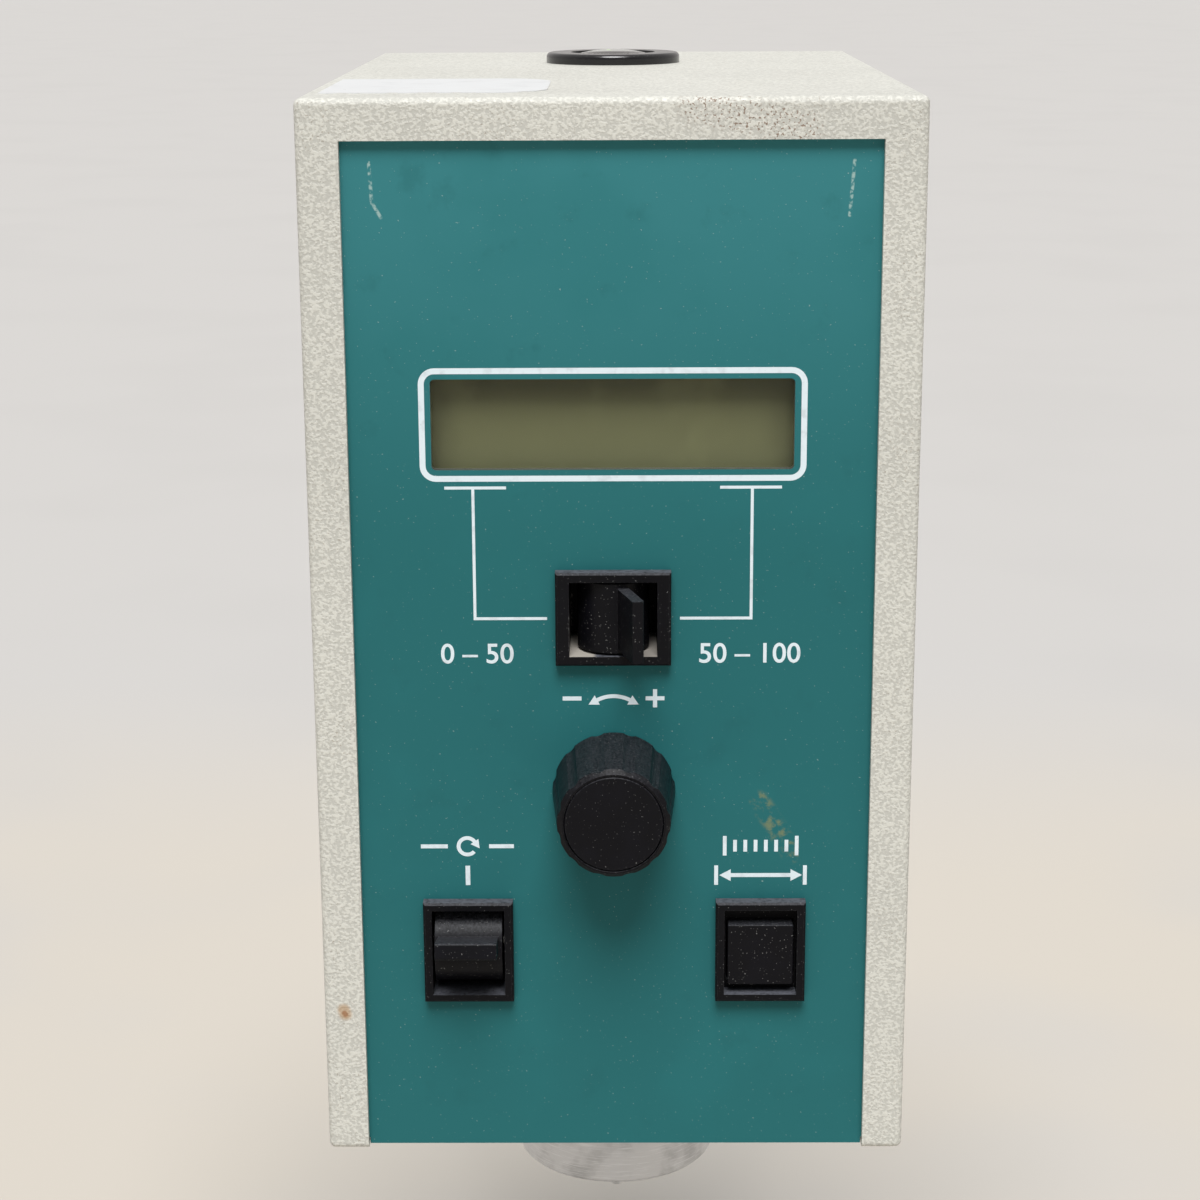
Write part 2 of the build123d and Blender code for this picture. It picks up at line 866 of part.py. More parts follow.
with BuildPart() as knob_cap:
    with BuildSketch(facing(knob_cap_back)):
        with Locations((0, knob_height_z)):
            Circle(knob_cap_radius)
    extrude(amount=knob_cap_thickness)
    cap_face = knob_cap.faces().sort_by(Axis.Y)[0]
    chamfer(cap_face.edges(), length=knob_cap_edge)
save(knob_cap.part, "knob_cap")

# Spirit level: ring and sleeve, glass, liquid with its bubble, and the nut under the cover
sleeve_bore = level_sleeve_radius - level_sleeve_wall
glass_radius = sleeve_bore - seat_gap
sleeve_bottom = top_z - level_sleeve_length
glass_bottom = sleeve_bottom + level_sleeve_wall
ring_top = top_z + level_ring_height
glass_shoulder = ring_top - level_glass_sink

with BuildPart() as level_ring:
    with BuildSketch(Plane.XY.offset(top_z)):
        with Locations((0, level_y)):
            Circle(level_ring_radius)
    extrude(amount=level_ring_height)
    ring_face = level_ring.faces().sort_by(Axis.Z)[-1]
    fillet(ring_face.edges(), radius=level_ring_round)
    with BuildSketch(Plane.XY.offset(sleeve_bottom)):
        with Locations((0, level_y)):
            Circle(level_sleeve_radius)
    extrude(amount=level_sleeve_length)
    with BuildSketch(Plane.XY.offset(glass_bottom)):
        with Locations((0, level_y)):
            Circle(sleeve_bore)
    extrude(amount=ring_top - glass_bottom, mode=Mode.SUBTRACT)
save(level_ring.part, "level_ring")

dome_radius = (glass_radius**2 + level_dome_rise**2) / (2 * level_dome_rise)
liquid_radius = glass_radius - level_glass_wall
liquid_bottom = glass_bottom + level_glass_wall
liquid_top = glass_shoulder - level_glass_top_wall
level_axis_plane = Plane(origin=(0, level_y, 0), x_dir=(1, 0, 0), z_dir=(0, -1, 0))

with BuildPart() as level_glass:
    with BuildSketch(level_axis_plane):
        with BuildLine():
            Line((0, glass_bottom), (glass_radius, glass_bottom))
            Line((glass_radius, glass_bottom), (glass_radius, glass_shoulder))
            RadiusArc((glass_radius, glass_shoulder), (0, glass_shoulder + level_dome_rise), -dome_radius)
            Line((0, glass_shoulder + level_dome_rise), (0, glass_bottom))
        make_face()
        with Locations((liquid_radius / 2, (liquid_bottom + liquid_top) / 2)):
            Rectangle(liquid_radius, liquid_top - liquid_bottom, mode=Mode.SUBTRACT)
    revolve(axis=Axis((0, level_y, 0), (0, 0, 1)))
save(level_glass.part, "level_glass")

with BuildPart() as level_liquid:
    with BuildSketch(Plane.XY.offset(liquid_bottom + seat_gap)):
        with Locations((0, level_y)):
            Circle(liquid_radius - seat_gap)
    extrude(amount=liquid_top - liquid_bottom - 2 * seat_gap)
    bubble_top = liquid_top - seat_gap
    with Locations((level_bubble_offset, level_y, bubble_top)):
        Sphere(level_bubble_radius, mode=Mode.SUBTRACT)
save(level_liquid.part, "level_liquid")

with BuildPart() as level_nut:
    with BuildSketch(Plane.XY.offset(top_z - sheet)):
        with Locations((0, level_y)):
            Circle(level_sleeve_radius + level_nut_width)
            Circle(level_sleeve_radius + seat_gap, mode=Mode.SUBTRACT)
    extrude(amount=-level_nut_height)
save(level_nut.part, "level_nut")

# Rear panel with its cut-outs
rod_screw_points = [
    (side * rod_screw_pitch / 2, level * rod_screw_pitch / 2) for side in (-1, 1) for level in (-1, 1)
]
board_centre_z = top_z - board_below_top
board_half_x = board_width / 2 - board_hole_inset
board_half_z = board_height / 2 - board_hole_inset
board_points = [
    (side * board_half_x, board_centre_z + level * board_half_z) for side in (-1, 1) for level in (-1, 1)
]
rear_top = top_z - sheet - fit_gap
rear_bottom = base_z + sheet

with BuildPart() as rear_panel:
    with BuildSketch(facing(0)):
        with Locations((0, (rear_top + rear_bottom) / 2)):
            Rectangle(2 * panel_half, rear_top - rear_bottom)
        Circle(rod_spigot_radius + seat_gap, mode=Mode.SUBTRACT)
        with Locations(*rod_screw_points):
            Circle(screw_radius + seat_gap, mode=Mode.SUBTRACT)
        with Locations((-inlet_x, power_height)):
            Rectangle(
                inlet_body_width + 2 * seat_gap, inlet_body_height + 2 * seat_gap, mode=Mode.SUBTRACT
            )
        with Locations((inlet_x, power_height)):
            Rectangle(
                power_rim_width - 2 * rim_overlap + 2 * seat_gap,
                power_rim_height - 2 * rim_overlap + 2 * seat_gap,
                mode=Mode.SUBTRACT,
            )
    extrude(amount=rear_thickness)
save(rear_panel.part, "rear_panel")

# Mounting rod: its shoulder rests on the panel, its spigot goes through into the block inside
block_front_y = -rear_thickness - rod_block_depth
with BuildPart() as mounting_rod:
    with BuildSketch(facing(0)):
        Circle(rod_radius)
    extrude(amount=-rod_length)
    chamfer(mounting_rod.edges().group_by(Axis.Y)[-1], length=rod_chamfer)
    with BuildSketch(facing(0)):
        Circle(rod_spigot_radius)
    extrude(amount=-block_front_y)
save(mounting_rod.part, "mounting_rod")

with BuildPart() as rod_block:
    with BuildSketch(facing(-rear_thickness)):
        Rectangle(rod_block_width, rod_block_width)
        Circle(rod_spigot_radius + seat_gap, mode=Mode.SUBTRACT)
        with Locations(*rod_screw_points):
            Circle(screw_radius + seat_gap, mode=Mode.SUBTRACT)
    extrude(amount=rod_block_depth)
save(rod_block.part, "rod_block")

with BuildPart() as housing_screws:
    add(cover_screws.part)
    with BuildSketch(facing(0)):
        with Locations(*rod_screw_points):
            Circle(screw_head_radius)
    extrude(amount=-screw_head_height)
    with BuildSketch(facing(0)):
        with Locations(*rod_screw_points):
            Circle(screw_radius)
    extrude(amount=rear_thickness + rod_block_depth)
save(housing_screws.part, "housing_screws")

# Power inlet: flanged body with a keyed socket, and its three blades
inlet_floor_y = inlet_flange_depth - inlet_socket_depth
with BuildPart() as power_inlet:
    with BuildSketch(facing(0)):
        with Locations((-inlet_x, power_height)):
            RectangleRounded(inlet_flange_width, inlet_flange_height, inlet_flange_corner)
    extrude(amount=-inlet_flange_depth)
    with BuildSketch(facing(0)):
        with Locations((-inlet_x, power_height)):
            Rectangle(inlet_body_width, inlet_body_height)
    extrude(amount=inlet_body_depth)
    with BuildSketch(facing(inlet_flange_depth)):
        with Locations((-inlet_x, power_height)):
            Rectangle(inlet_socket_width, inlet_socket_height)
        chamfer(vertices().group_by(Axis.Y)[-1], length=inlet_socket_chamfer)
    extrude(amount=inlet_socket_depth, mode=Mode.SUBTRACT)
save(power_inlet.part, "power_inlet")

with BuildPart() as inlet_blades:
    with BuildSketch(facing(inlet_floor_y)):
        with Locations((-inlet_x, power_height)):
            with Locations(
                (-inlet_blade_pitch, -inlet_blade_drop),
                (0, inlet_blade_drop),
                (inlet_blade_pitch, -inlet_blade_drop),
            ):
                Rectangle(inlet_blade_thickness, inlet_blade_width)
    extrude(amount=-inlet_blade_length)
save(inlet_blades.part, "inlet_blades")

# Power switch: rim and box in the rear panel, and a rocker with a shallow vee face
rocker_y = power_rim_depth - rocker_depth
power_back_y = -power_body_depth
rocker_pin_length = power_opening_width + 2 * pin_seat
with BuildPart() as power_housing:
    with BuildSketch(facing(0)):
        with Locations((inlet_x, power_height)):
            Rectangle(power_rim_width, power_rim_height)
    extrude(amount=-power_rim_depth)
    chamfer(power_housing.faces().sort_by(Axis.Y)[-1].edges(), length=rim_bevel)
    with BuildSketch(facing(0)):
        with Locations((inlet_x, power_height)):
            Rectangle(power_rim_width - 2 * rim_overlap, power_rim_height - 2 * rim_overlap)
    extrude(amount=power_body_depth + housing_wall)
    with BuildSketch(facing(power_rim_depth)):
        with Locations((inlet_x, power_height)):
            Rectangle(power_opening_width, power_opening_height)
    extrude(amount=power_rim_depth + power_body_depth, mode=Mode.SUBTRACT)
    with BuildSketch(Plane.YZ.offset(inlet_x - rocker_pin_length / 2)):
        with Locations((rocker_y, power_height)):
            Circle(pin_radius)
    extrude(amount=rocker_pin_length, mode=Mode.SUBTRACT)
save(power_housing.part, "power_switch_housing")

with BuildPart() as rocker_pin:
    with BuildSketch(Plane.YZ.offset(inlet_x - rocker_pin_length / 2)):
        with Locations((rocker_y, power_height)):
            Circle(pin_radius)
    extrude(amount=rocker_pin_length)

with BuildPart() as switch_pins:
    add(selector_pin_solid)
    add(motor_pin_solid)
    add(rocker_pin.part)
save(switch_pins.part, "switch_pins")

with BuildPart() as power_rocker:
    with BuildSketch(Plane.YZ.offset(inlet_x - rocker_width / 2)):
        with Locations((rocker_y, power_height)):
            Circle(rocker_radius)
        for half in (-1, 1):
            with Locations(Location((rocker_y, power_height), rocker_throw + half * rocker_throw)):
                with Locations((rocker_face + rocker_radius, half * rocker_radius)):
                    Rectangle(2 * rocker_radius, 2 * rocker_radius, mode=Mode.SUBTRACT)
        with Locations((rocker_y, power_height)):
            Circle(pin_radius + pin_clearance, mode=Mode.SUBTRACT)
    extrude(amount=rocker_width)
save(power_rocker.part, "power_rocker")


stepper_points = [
    (side * stepper_hole_pitch / 2, stepper_y + along * stepper_hole_pitch / 2)
    for side in (-1, 1)
    for along in (-1, 1)
]


def drive_plate(z, carries):
    """A plate of the drive with its bush seat, and holes for the pillars and for what it carries."""
    with BuildPart() as plate:
        with BuildSketch(Plane.XY.offset(z)):
            with Locations((0, (plate_front_edge + plate_rear_edge) / 2)):
                RectangleRounded(drive_plate_width, plate_rear_edge - plate_front_edge, drive_plate_corner)
            with Locations((0, axis_y)):
                Circle(bush_radius + seat_gap, mode=Mode.SUBTRACT)
            with Locations(*pillar_points):
                Circle(pillar_bore + seat_gap, mode=Mode.SUBTRACT)
            if carries == "cup":
                with Locations((0, axis_y)):
                    with PolarLocations(cup_screw_place, cup_screw_count, start_angle=90):
                        Circle(cup_screw_radius + seat_gap, mode=Mode.SUBTRACT)
            if carries == "stepper":
                with Locations((0, stepper_y)):
                    Circle(stepper_boss_radius + seat_gap, mode=Mode.SUBTRACT)
                with Locations(*stepper_points):
                    Circle(small_screw_radius + seat_gap, mode=Mode.SUBTRACT)
        extrude(amount=drive_plate_thickness)
    return plate.part


# Drive plates, pillars and pillar screws
save(drive_plate(tray_top_z, "cup"), "lower_drive_plate")
save(drive_plate(upper_plate_z, "stepper"), "upper_drive_plate")

with BuildPart() as plate_pillars:
    with BuildSketch(Plane.XY.offset(lower_plate_top)):
        with Locations(*pillar_points):
            Circle(pillar_radius)
            Circle(pillar_bore + seat_gap, mode=Mode.SUBTRACT)
    extrude(amount=pillar_length)

with BuildPart() as pillar_screws:
    with BuildSketch(Plane.XY.offset(upper_plate_top)):
        with Locations(*pillar_points):
            Circle(screw_head_radius)
    extrude(amount=screw_head_height)
    with BuildSketch(Plane.XY.offset(upper_plate_top)):
        with Locations(*pillar_points):
            Circle(pillar_bore)
    extrude(amount=-(drive_plate_thickness + screw_length))


def flanged_bush(plate_z, flange_up):
    """A plain bearing bush in a drive plate, its flange above or below the plate."""
    flange_z = plate_z + drive_plate_thickness if flange_up else plate_z - bush_flange
    with BuildPart() as bush:
        with BuildSketch(Plane.XY.offset(plate_z)):
            with Locations((0, axis_y)):
                Circle(bush_radius)
        extrude(amount=drive_plate_thickness)
        with BuildSketch(Plane.XY.offset(flange_z)):
            with Locations((0, axis_y)):
                Circle(bush_flange_radius)
        extrude(amount=bush_flange)
        with BuildSketch(Plane.XY.offset(plate_z - bush_flange)):
            with Locations((0, axis_y)):
                Circle(drive_shaft_radius + running_clearance)
        extrude(amount=drive_plate_thickness + 2 * bush_flange, mode=Mode.SUBTRACT)
    return bush.part


with BuildPart() as shaft_bushes:
    add(flanged_bush(tray_top_z, False))
    add(flanged_bush(upper_plate_z, True))
save(shaft_bushes.part, "shaft_bushes")

# Drive shaft: a tube from the drive gear down into the cup, with a seat for the jewel
with BuildPart() as drive_shaft:
    with BuildSketch(Plane.XY.offset(shaft_bottom_z)):
        with Locations((0, axis_y)):
            Circle(drive_shaft_radius)
            Circle(drive_shaft_bore, mode=Mode.SUBTRACT)
    extrude(amount=gear_top_z - shaft_bottom_z)
    with BuildSketch(Plane.XY.offset(shaft_bottom_z)):
        with Locations((0, axis_y)):
            Circle(jewel_radius + seat_gap)
    extrude(amount=jewel_thickness, mode=Mode.SUBTRACT)
save(drive_shaft.part, "drive_shaft")


def tooth_points(teeth, first_angle):
    """Outline of an involute gear, each flank in a few straight steps."""
    pitch_radius = gear_module * teeth / 2
    base_radius = pitch_radius * math.cos(math.radians(pressure_angle))
    tip_radius = pitch_radius + gear_module
    root_radius = pitch_radius - dedendum * gear_module
    pitch_roll = math.tan(math.radians(pressure_angle)) - math.radians(pressure_angle)
    half_tooth = math.pi / (2 * teeth) - gear_backlash / (2 * pitch_radius)
    flank = []
    flank_start = max(root_radius, base_radius)
    for step in range(flank_steps):
        radius = flank_start + step * (tip_radius - flank_start) / (flank_steps - 1)
        roll = math.acos(min(1.0, base_radius / radius))
        flank.append((radius, half_tooth + pitch_roll - (math.tan(roll) - roll)))
    if root_radius < base_radius:
        flank.insert(0, (root_radius, flank[0][1]))
    outline = []
    for tooth in range(teeth):
        middle = first_angle + 2 * math.pi * tooth / teeth
        outline += [(radius, middle - half) for radius, half in flank]
        outline += [(radius, middle + half) for radius, half in reversed(flank)]
    return [(radius * math.cos(angle), radius * math.sin(angle)) for radius, angle in outline]


# Drive gear: spoked wheel with a hub below and a post that holds the spring's outer end
gear_root = gear_module * (gear_teeth / 2 - dedendum)
web_inner = gear_hub_radius
web_outer = gear_root - gear_rim
with BuildPart() as drive_gear:
    with BuildSketch(Plane(origin=(0, axis_y, gear_z))):
        with BuildLine():
            Polyline(*tooth_points(gear_teeth, math.pi / 2), close=True)
        make_face()
    extrude(amount=gear_width)
    with BuildSketch(Plane.XY.offset(gear_top_z - (gear_width - gear_web) / 2)):
        with Locations((0, axis_y)):
            Circle(web_outer)
            Circle(web_inner, mode=Mode.SUBTRACT)
    extrude(amount=gear_width, mode=Mode.SUBTRACT)
    with BuildSketch(Plane.XY.offset(gear_z)):
        with Locations((0, axis_y)):
            Circle(web_outer)
            Circle(web_inner, mode=Mode.SUBTRACT)
    extrude(amount=(gear_width - gear_web) / 2, mode=Mode.SUBTRACT)
    with BuildSketch(Plane.XY.offset(gear_z)):
        with Locations((0, axis_y)):
            Circle(web_outer)
            Circle(web_inner, mode=Mode.SUBTRACT)
            with PolarLocations(0, gear_spokes, start_angle=-90):
                with Locations((web_outer / 2, 0)):
                    Rectangle(web_outer, 2 * gear_spoke_width, mode=Mode.SUBTRACT)
    extrude(amount=gear_width, mode=Mode.SUBTRACT)
    with BuildSketch(Plane.XY.offset(gear_z - gear_hub_height)):
        with Locations((0, axis_y)):
            Circle(gear_hub_radius)
    extrude(amount=gear_hub_height)
    with BuildSketch(Plane.XY.offset(gear_z)):
        with Locations((0, axis_y - spring_post_place)):
            Circle(spring_post_radius)
    extrude(amount=gear_width + spring_post_height)
    with BuildSketch(Plane.XY.offset(gear_z - gear_hub_height)):
        with Locations((0, axis_y)):
            Circle(drive_shaft_radius + seat_gap)
    extrude(amount=gear_width + gear_hub_height, mode=Mode.SUBTRACT)
save(drive_gear.part, "drive_gear")

# Stepper motor under the upper plate: two end caps, a laminated middle and a locating boss
stepper_bottom = upper_plate_z - stepper_length
stepper_core_width = stepper_width - 2 * stepper_core_step
with BuildPart() as stepper_motor:
    for cap_z in (stepper_bottom, upper_plate_z - stepper_cap):
        with BuildSketch(Plane.XY.offset(cap_z)):
            with Locations((0, stepper_y)):
                RectangleRounded(stepper_width, stepper_width, stepper_corner)
        extrude(amount=stepper_cap)
    with BuildSketch(Plane.XY.offset(stepper_bottom + stepper_cap)):
        with Locations((0, stepper_y)):
            RectangleRounded(stepper_core_width, stepper_core_width, stepper_corner)
    extrude(amount=stepper_length - 2 * stepper_cap)
    with BuildSketch(Plane.XY.offset(upper_plate_z)):
        with Locations((0, stepper_y)):
            Circle(stepper_boss_radius)
    extrude(amount=stepper_boss_height)
    with BuildSketch(Plane.XY.offset(upper_plate_z + stepper_boss_height)):
        with Locations((0, stepper_y)):
            Circle(pinion_shaft_radius + running_clearance)
    extrude(amount=-(stepper_boss_height + stepper_cap), mode=Mode.SUBTRACT)
save(stepper_motor.part, "stepper_motor")

with BuildPart() as stepper_screws:
    with BuildSketch(Plane.XY.offset(upper_plate_top)):
        with Locations(*stepper_points):
            Circle(small_head_radius)
    extrude(amount=small_head_height)
    with BuildSketch(Plane.XY.offset(upper_plate_top)):
        with Locations(*stepper_points):
            Circle(small_screw_radius)
    extrude(amount=-drive_plate_thickness)

# Pinion on the motor shaft: a gap between two of its teeth faces the drive gear
pinion_z = gear_z + (gear_width - pinion_width) / 2
shaft_foot_z = upper_plate_z - stepper_cap + stepper_boss_height
with BuildPart() as drive_pinion:
    with BuildSketch(Plane(origin=(0, stepper_y, pinion_z))):
        with BuildLine():
            Polyline(*tooth_points(pinion_teeth, -math.pi / 2 + math.pi / pinion_teeth), close=True)
        make_face()
    extrude(amount=pinion_width)
    with BuildSketch(Plane.XY.offset(shaft_foot_z)):
        with Locations((0, stepper_y)):
            Circle(pinion_shaft_radius)
    extrude(amount=pinion_z + pinion_width - shaft_foot_z)
save(drive_pinion.part, "drive_pinion")

# Spiral spring: a flat ribbon wound from the hub on the pivot shaft out to the post
hub_z = gear_top_z + spring_hub_lift
spring_z = gear_top_z + spring_lift
spring_start = spring_hub_radius + seat_gap
spring_end = spring_post_place - spring_post_radius - spring_thickness - seat_gap
spring_pitch = (spring_end - spring_start) / spring_turns


def spiral_crossing(half_turn, outward):
    """Where an edge of the ribbon crosses the line through the post, counted in half turns inward."""
    side = -1 if half_turn % 2 == 0 else 1
    return (0, side * (spring_end - half_turn * spring_pitch / 2 + outward))


def spiral_edge(outward):
    """One edge of the ribbon: half circles that shrink toward the hub and meet smoothly."""
    for half_turn in range(2 * spring_turns):
        start = spiral_crossing(half_turn, outward)
        end = spiral_crossing(half_turn + 1, outward)
        reach = (abs(start[1]) + abs(end[1])) / 2
        side = 1 if half_turn % 2 == 0 else -1
        ThreePointArc(start, (side * reach, (start[1] + end[1]) / 2), end)


with BuildPart() as torsion_spring:
    with BuildSketch(Plane(origin=(0, axis_y, spring_z))):
        with BuildLine():
            spiral_edge(0)
            spiral_edge(spring_thickness)
            Line(spiral_crossing(0, 0), spiral_crossing(0, spring_thickness))
            Line(spiral_crossing(2 * spring_turns, 0), spiral_crossing(2 * spring_turns, spring_thickness))
        make_face()
    extrude(amount=spring_width)
save(torsion_spring.part, "torsion_spring")

with BuildPart() as spring_hub:
    with BuildSketch(Plane.XY.offset(hub_z)):
        with Locations((0, axis_y)):
            Circle(spring_hub_radius)
            Circle(pivot_radius + seat_gap, mode=Mode.SUBTRACT)
    extrude(amount=spring_hub_height)
save(spring_hub.part, "spring_hub")

# Jewel ring in the foot of the drive shaft; the pivot shaft's collar hangs on it
with BuildPart() as jewel_bearing:
    with BuildSketch(Plane.XY.offset(shaft_bottom_z)):
        with Locations((0, axis_y)):
            Circle(jewel_radius)
            Circle(pivot_radius + running_clearance, mode=Mode.SUBTRACT)
    extrude(amount=jewel_thickness)
save(jewel_bearing.part, "jewel_bearing")

rotor_z = stator_z + rotor_bore_lift
rotor_top_z = rotor_z + rotor_height
coupling_top_z = cup_bottom_z - coupling_drop + coupling_length
coupling_bottom_z = cup_bottom_z - coupling_drop
thread_bottom_z = coupling_bottom_z - thread_length
collar_z = shaft_bottom_z + jewel_thickness + running_clearance
with BuildPart() as pivot_shaft:
    with BuildSketch(Plane.XY.offset(coupling_bottom_z)):
        with Locations((0, axis_y)):
            Circle(pivot_radius)
    extrude(amount=rotor_top_z - coupling_bottom_z)
    with BuildSketch(Plane.XY.offset(collar_z)):
        with Locations((0, axis_y)):
            Circle(pivot_collar_radius)
    extrude(amount=pivot_collar_height)
    with BuildSketch(Plane.XY.offset(thread_bottom_z)):
        with Locations((0, axis_y)):
            Circle(thread_radius)
    extrude(amount=thread_length)
    chamfer(pivot_shaft.edges().group_by(Axis.Z)[0], length=thread_chamfer)
save(pivot_shaft.part, "pivot_shaft")

with BuildPart() as coupling_nut:
    with BuildSketch(Plane.XY.offset(coupling_bottom_z)):
        with Locations((0, axis_y)):
            Circle(coupling_radius)
            with PolarLocations(coupling_radius, coupling_grooves):
                Circle(coupling_groove_radius, mode=Mode.SUBTRACT)
            Circle(pivot_radius + seat_gap, mode=Mode.SUBTRACT)
    extrude(amount=coupling_length)
save(coupling_nut.part, "coupling_nut")

# Pivot cup: a turned cup screwed under the tray, open round the coupling
cup_height = tray_z - cup_bottom_z
with BuildPart() as pivot_cup:
    with BuildSketch(Plane.XY.offset(cup_bottom_z)):
        with Locations((0, axis_y)):
            Circle(cup_radius)
    extrude(amount=cup_height)
    chamfer(pivot_cup.edges().group_by(Axis.Z)[0], length=cup_edge)
    with BuildSketch(Plane.XY.offset(cup_bottom_z + cup_floor)):
        with Locations((0, axis_y)):
            Circle(cup_radius - cup_wall)
    extrude(amount=cup_height, mode=Mode.SUBTRACT)
    with BuildSketch(Plane.XY.offset(cup_bottom_z)):
        with Locations((0, axis_y)):
            Circle(cup_hole_radius)
    extrude(amount=cup_floor, mode=Mode.SUBTRACT)
    with BuildSketch(Plane.XY.offset(tray_z)):
        with Locations((0, axis_y)):
            with PolarLocations(cup_screw_place, cup_screw_count, start_angle=90):
                Circle(cup_screw_radius + seat_gap)
    extrude(amount=-screw_length, mode=Mode.SUBTRACT)
save(pivot_cup.part, "pivot_cup")

with BuildPart() as drive_screws:
    with BuildSketch(Plane.XY.offset(lower_plate_top)):
        with Locations((0, axis_y)):
            with PolarLocations(cup_screw_place, cup_screw_count, start_angle=90):
                Circle(cup_screw_head)
    extrude(amount=small_head_height)
    with BuildSketch(Plane.XY.offset(lower_plate_top)):
        with Locations((0, axis_y)):
            with PolarLocations(cup_screw_place, cup_screw_count, start_angle=90):
                Circle(cup_screw_radius)
    extrude(amount=-(lower_plate_top - tray_z + screw_length - seat_gap))
    add(pillar_screws.part)
    add(stepper_screws.part)
save(drive_screws.part, "drive_screws")

# Transducer: bridge pillars and bridge, the coil ring on it and the rotor on the pivot shaft
bridge_points = [(-pillar_x, axis_y), (pillar_x, axis_y)]
with BuildPart() as drive_pillars:
    add(plate_pillars.part)
    with BuildSketch(Plane.XY.offset(upper_plate_top)):
        with Locations(*bridge_points):
            Circle(bridge_pillar_radius)
    extrude(amount=bridge_height)
save(drive_pillars.part, "drive_pillars")

with BuildPart() as transducer_bridge:
    with BuildSketch(Plane.XY.offset(bridge_z)):
        with Locations((0, axis_y)):
            RectangleRounded(drive_plate_width, bridge_width, drive_plate_corner)
            Circle(bridge_hole_radius, mode=Mode.SUBTRACT)
    extrude(amount=bridge_thickness)
save(transducer_bridge.part, "transducer_bridge")

with BuildPart() as transducer_coil:
    with BuildSketch(Plane.XY.offset(stator_z)):
        with Locations((0, axis_y)):
            Circle(stator_radius)
            Circle(stator_bore, mode=Mode.SUBTRACT)
    extrude(amount=stator_height)
save(transducer_coil.part, "transducer_coil")

with BuildPart() as transducer_rotor:
    with BuildSketch(Plane.XY.offset(rotor_z)):
        with Locations((0, axis_y)):
            Circle(stator_bore - rotor_gap)
            Circle(pivot_radius + seat_gap, mode=Mode.SUBTRACT)
    extrude(amount=rotor_height)
save(transducer_rotor.part, "transducer_rotor")

# Circuit board on standoffs at the rear panel, with its transformer, chips and connector
board_y = -rear_thickness - board_standoff
with BuildPart() as board_standoffs:
    with BuildSketch(facing(-rear_thickness)):
        with Locations(*board_points):
            Circle(board_standoff_radius)
            Circle(small_screw_radius + seat_gap, mode=Mode.SUBTRACT)
    extrude(amount=board_standoff)

with BuildPart() as board_spacers:
    add(display_spacers.part)
    add(board_standoffs.part)
save(board_spacers.part, "board_spacers")

with BuildPart() as main_board:
    with BuildSketch(facing(board_y)):
        with Locations((0, board_centre_z)):
            Rectangle(board_width, board_height)
        with Locations(*board_points):
            Circle(small_screw_radius + seat_gap, mode=Mode.SUBTRACT)
    extrude(amount=board_thickness)
save(main_board.part, "main_board")

board_front_y = board_y - board_thickness
with BuildPart() as board_screws:
    with BuildSketch(facing(board_front_y)):
        with Locations(*board_points):
            Circle(small_head_radius)
    extrude(amount=small_head_height)
    with BuildSketch(facing(board_front_y)):
        with Locations(*board_points):
            Circle(small_screw_radius)
    extrude(amount=-(board_thickness + board_standoff))
    add(display_screws.part)
save(board_screws.part, "board_screws")

transformer_centre_z = board_centre_z + transformer_rise
with BuildPart() as transformer:
    with BuildSketch(facing(board_front_y)):
        with Locations((transformer_x, transformer_centre_z)):
            Rectangle(transformer_bobbin_width, transformer_height)
    extrude(amount=transformer_depth)
    with BuildSketch(facing(board_front_y)):
        with Locations((transformer_x, transformer_centre_z)):
            Rectangle(transformer_width, transformer_bobbin_height)
    extrude(amount=transformer_bobbin_depth)
save(transformer.part, "transformer")

with BuildPart() as board_components:
    with BuildSketch(facing(board_front_y)):
        for x, z, width, height in chip_places:
            with Locations((x, board_centre_z + z)):
                Rectangle(width, height)
    extrude(amount=chip_height)
    with BuildSketch(facing(board_front_y)):
        with Locations((0, board_centre_z - board_half_z + connector_height / 2)):
            with GridLocations(connector_pitch, 0, 2, 1):
                Rectangle(connector_width, connector_height)
    extrude(amount=connector_depth)
save(board_components.part, "board_components")
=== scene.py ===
"""Finish, small parts, light and camera for a rotational viscometer head."""
import json
import math

import bmesh
import bpy
from mathutils import Matrix, Vector


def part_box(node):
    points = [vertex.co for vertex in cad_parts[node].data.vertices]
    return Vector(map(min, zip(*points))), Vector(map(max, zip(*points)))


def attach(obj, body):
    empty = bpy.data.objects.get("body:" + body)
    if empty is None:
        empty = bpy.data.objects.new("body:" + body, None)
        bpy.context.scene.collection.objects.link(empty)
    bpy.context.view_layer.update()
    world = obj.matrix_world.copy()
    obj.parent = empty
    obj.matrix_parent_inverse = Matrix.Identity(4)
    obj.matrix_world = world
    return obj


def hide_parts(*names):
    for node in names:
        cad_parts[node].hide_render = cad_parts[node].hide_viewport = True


bl_info = {
    "name": "Viscometer Head Finish",
    "version": (1, 0, 0),
    "blender": (4, 5, 0),
    "location": "View3D > Sidebar > Viscometer",
    "description": "Paints the parts of a viscometer head and adds its printing, screws and threads",
    "category": "Object",
}

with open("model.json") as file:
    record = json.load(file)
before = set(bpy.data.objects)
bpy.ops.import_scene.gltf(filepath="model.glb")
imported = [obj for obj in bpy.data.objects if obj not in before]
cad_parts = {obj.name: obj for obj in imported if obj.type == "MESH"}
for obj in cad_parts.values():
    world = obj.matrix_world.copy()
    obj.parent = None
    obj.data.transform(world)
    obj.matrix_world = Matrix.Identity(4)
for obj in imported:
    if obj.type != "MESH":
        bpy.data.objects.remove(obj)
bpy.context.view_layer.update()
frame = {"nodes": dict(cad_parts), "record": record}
MM = 0.001


def corner(node, high=False):
    """A corner of a node's box, in metres."""
    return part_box(node)[1 if high else 0]


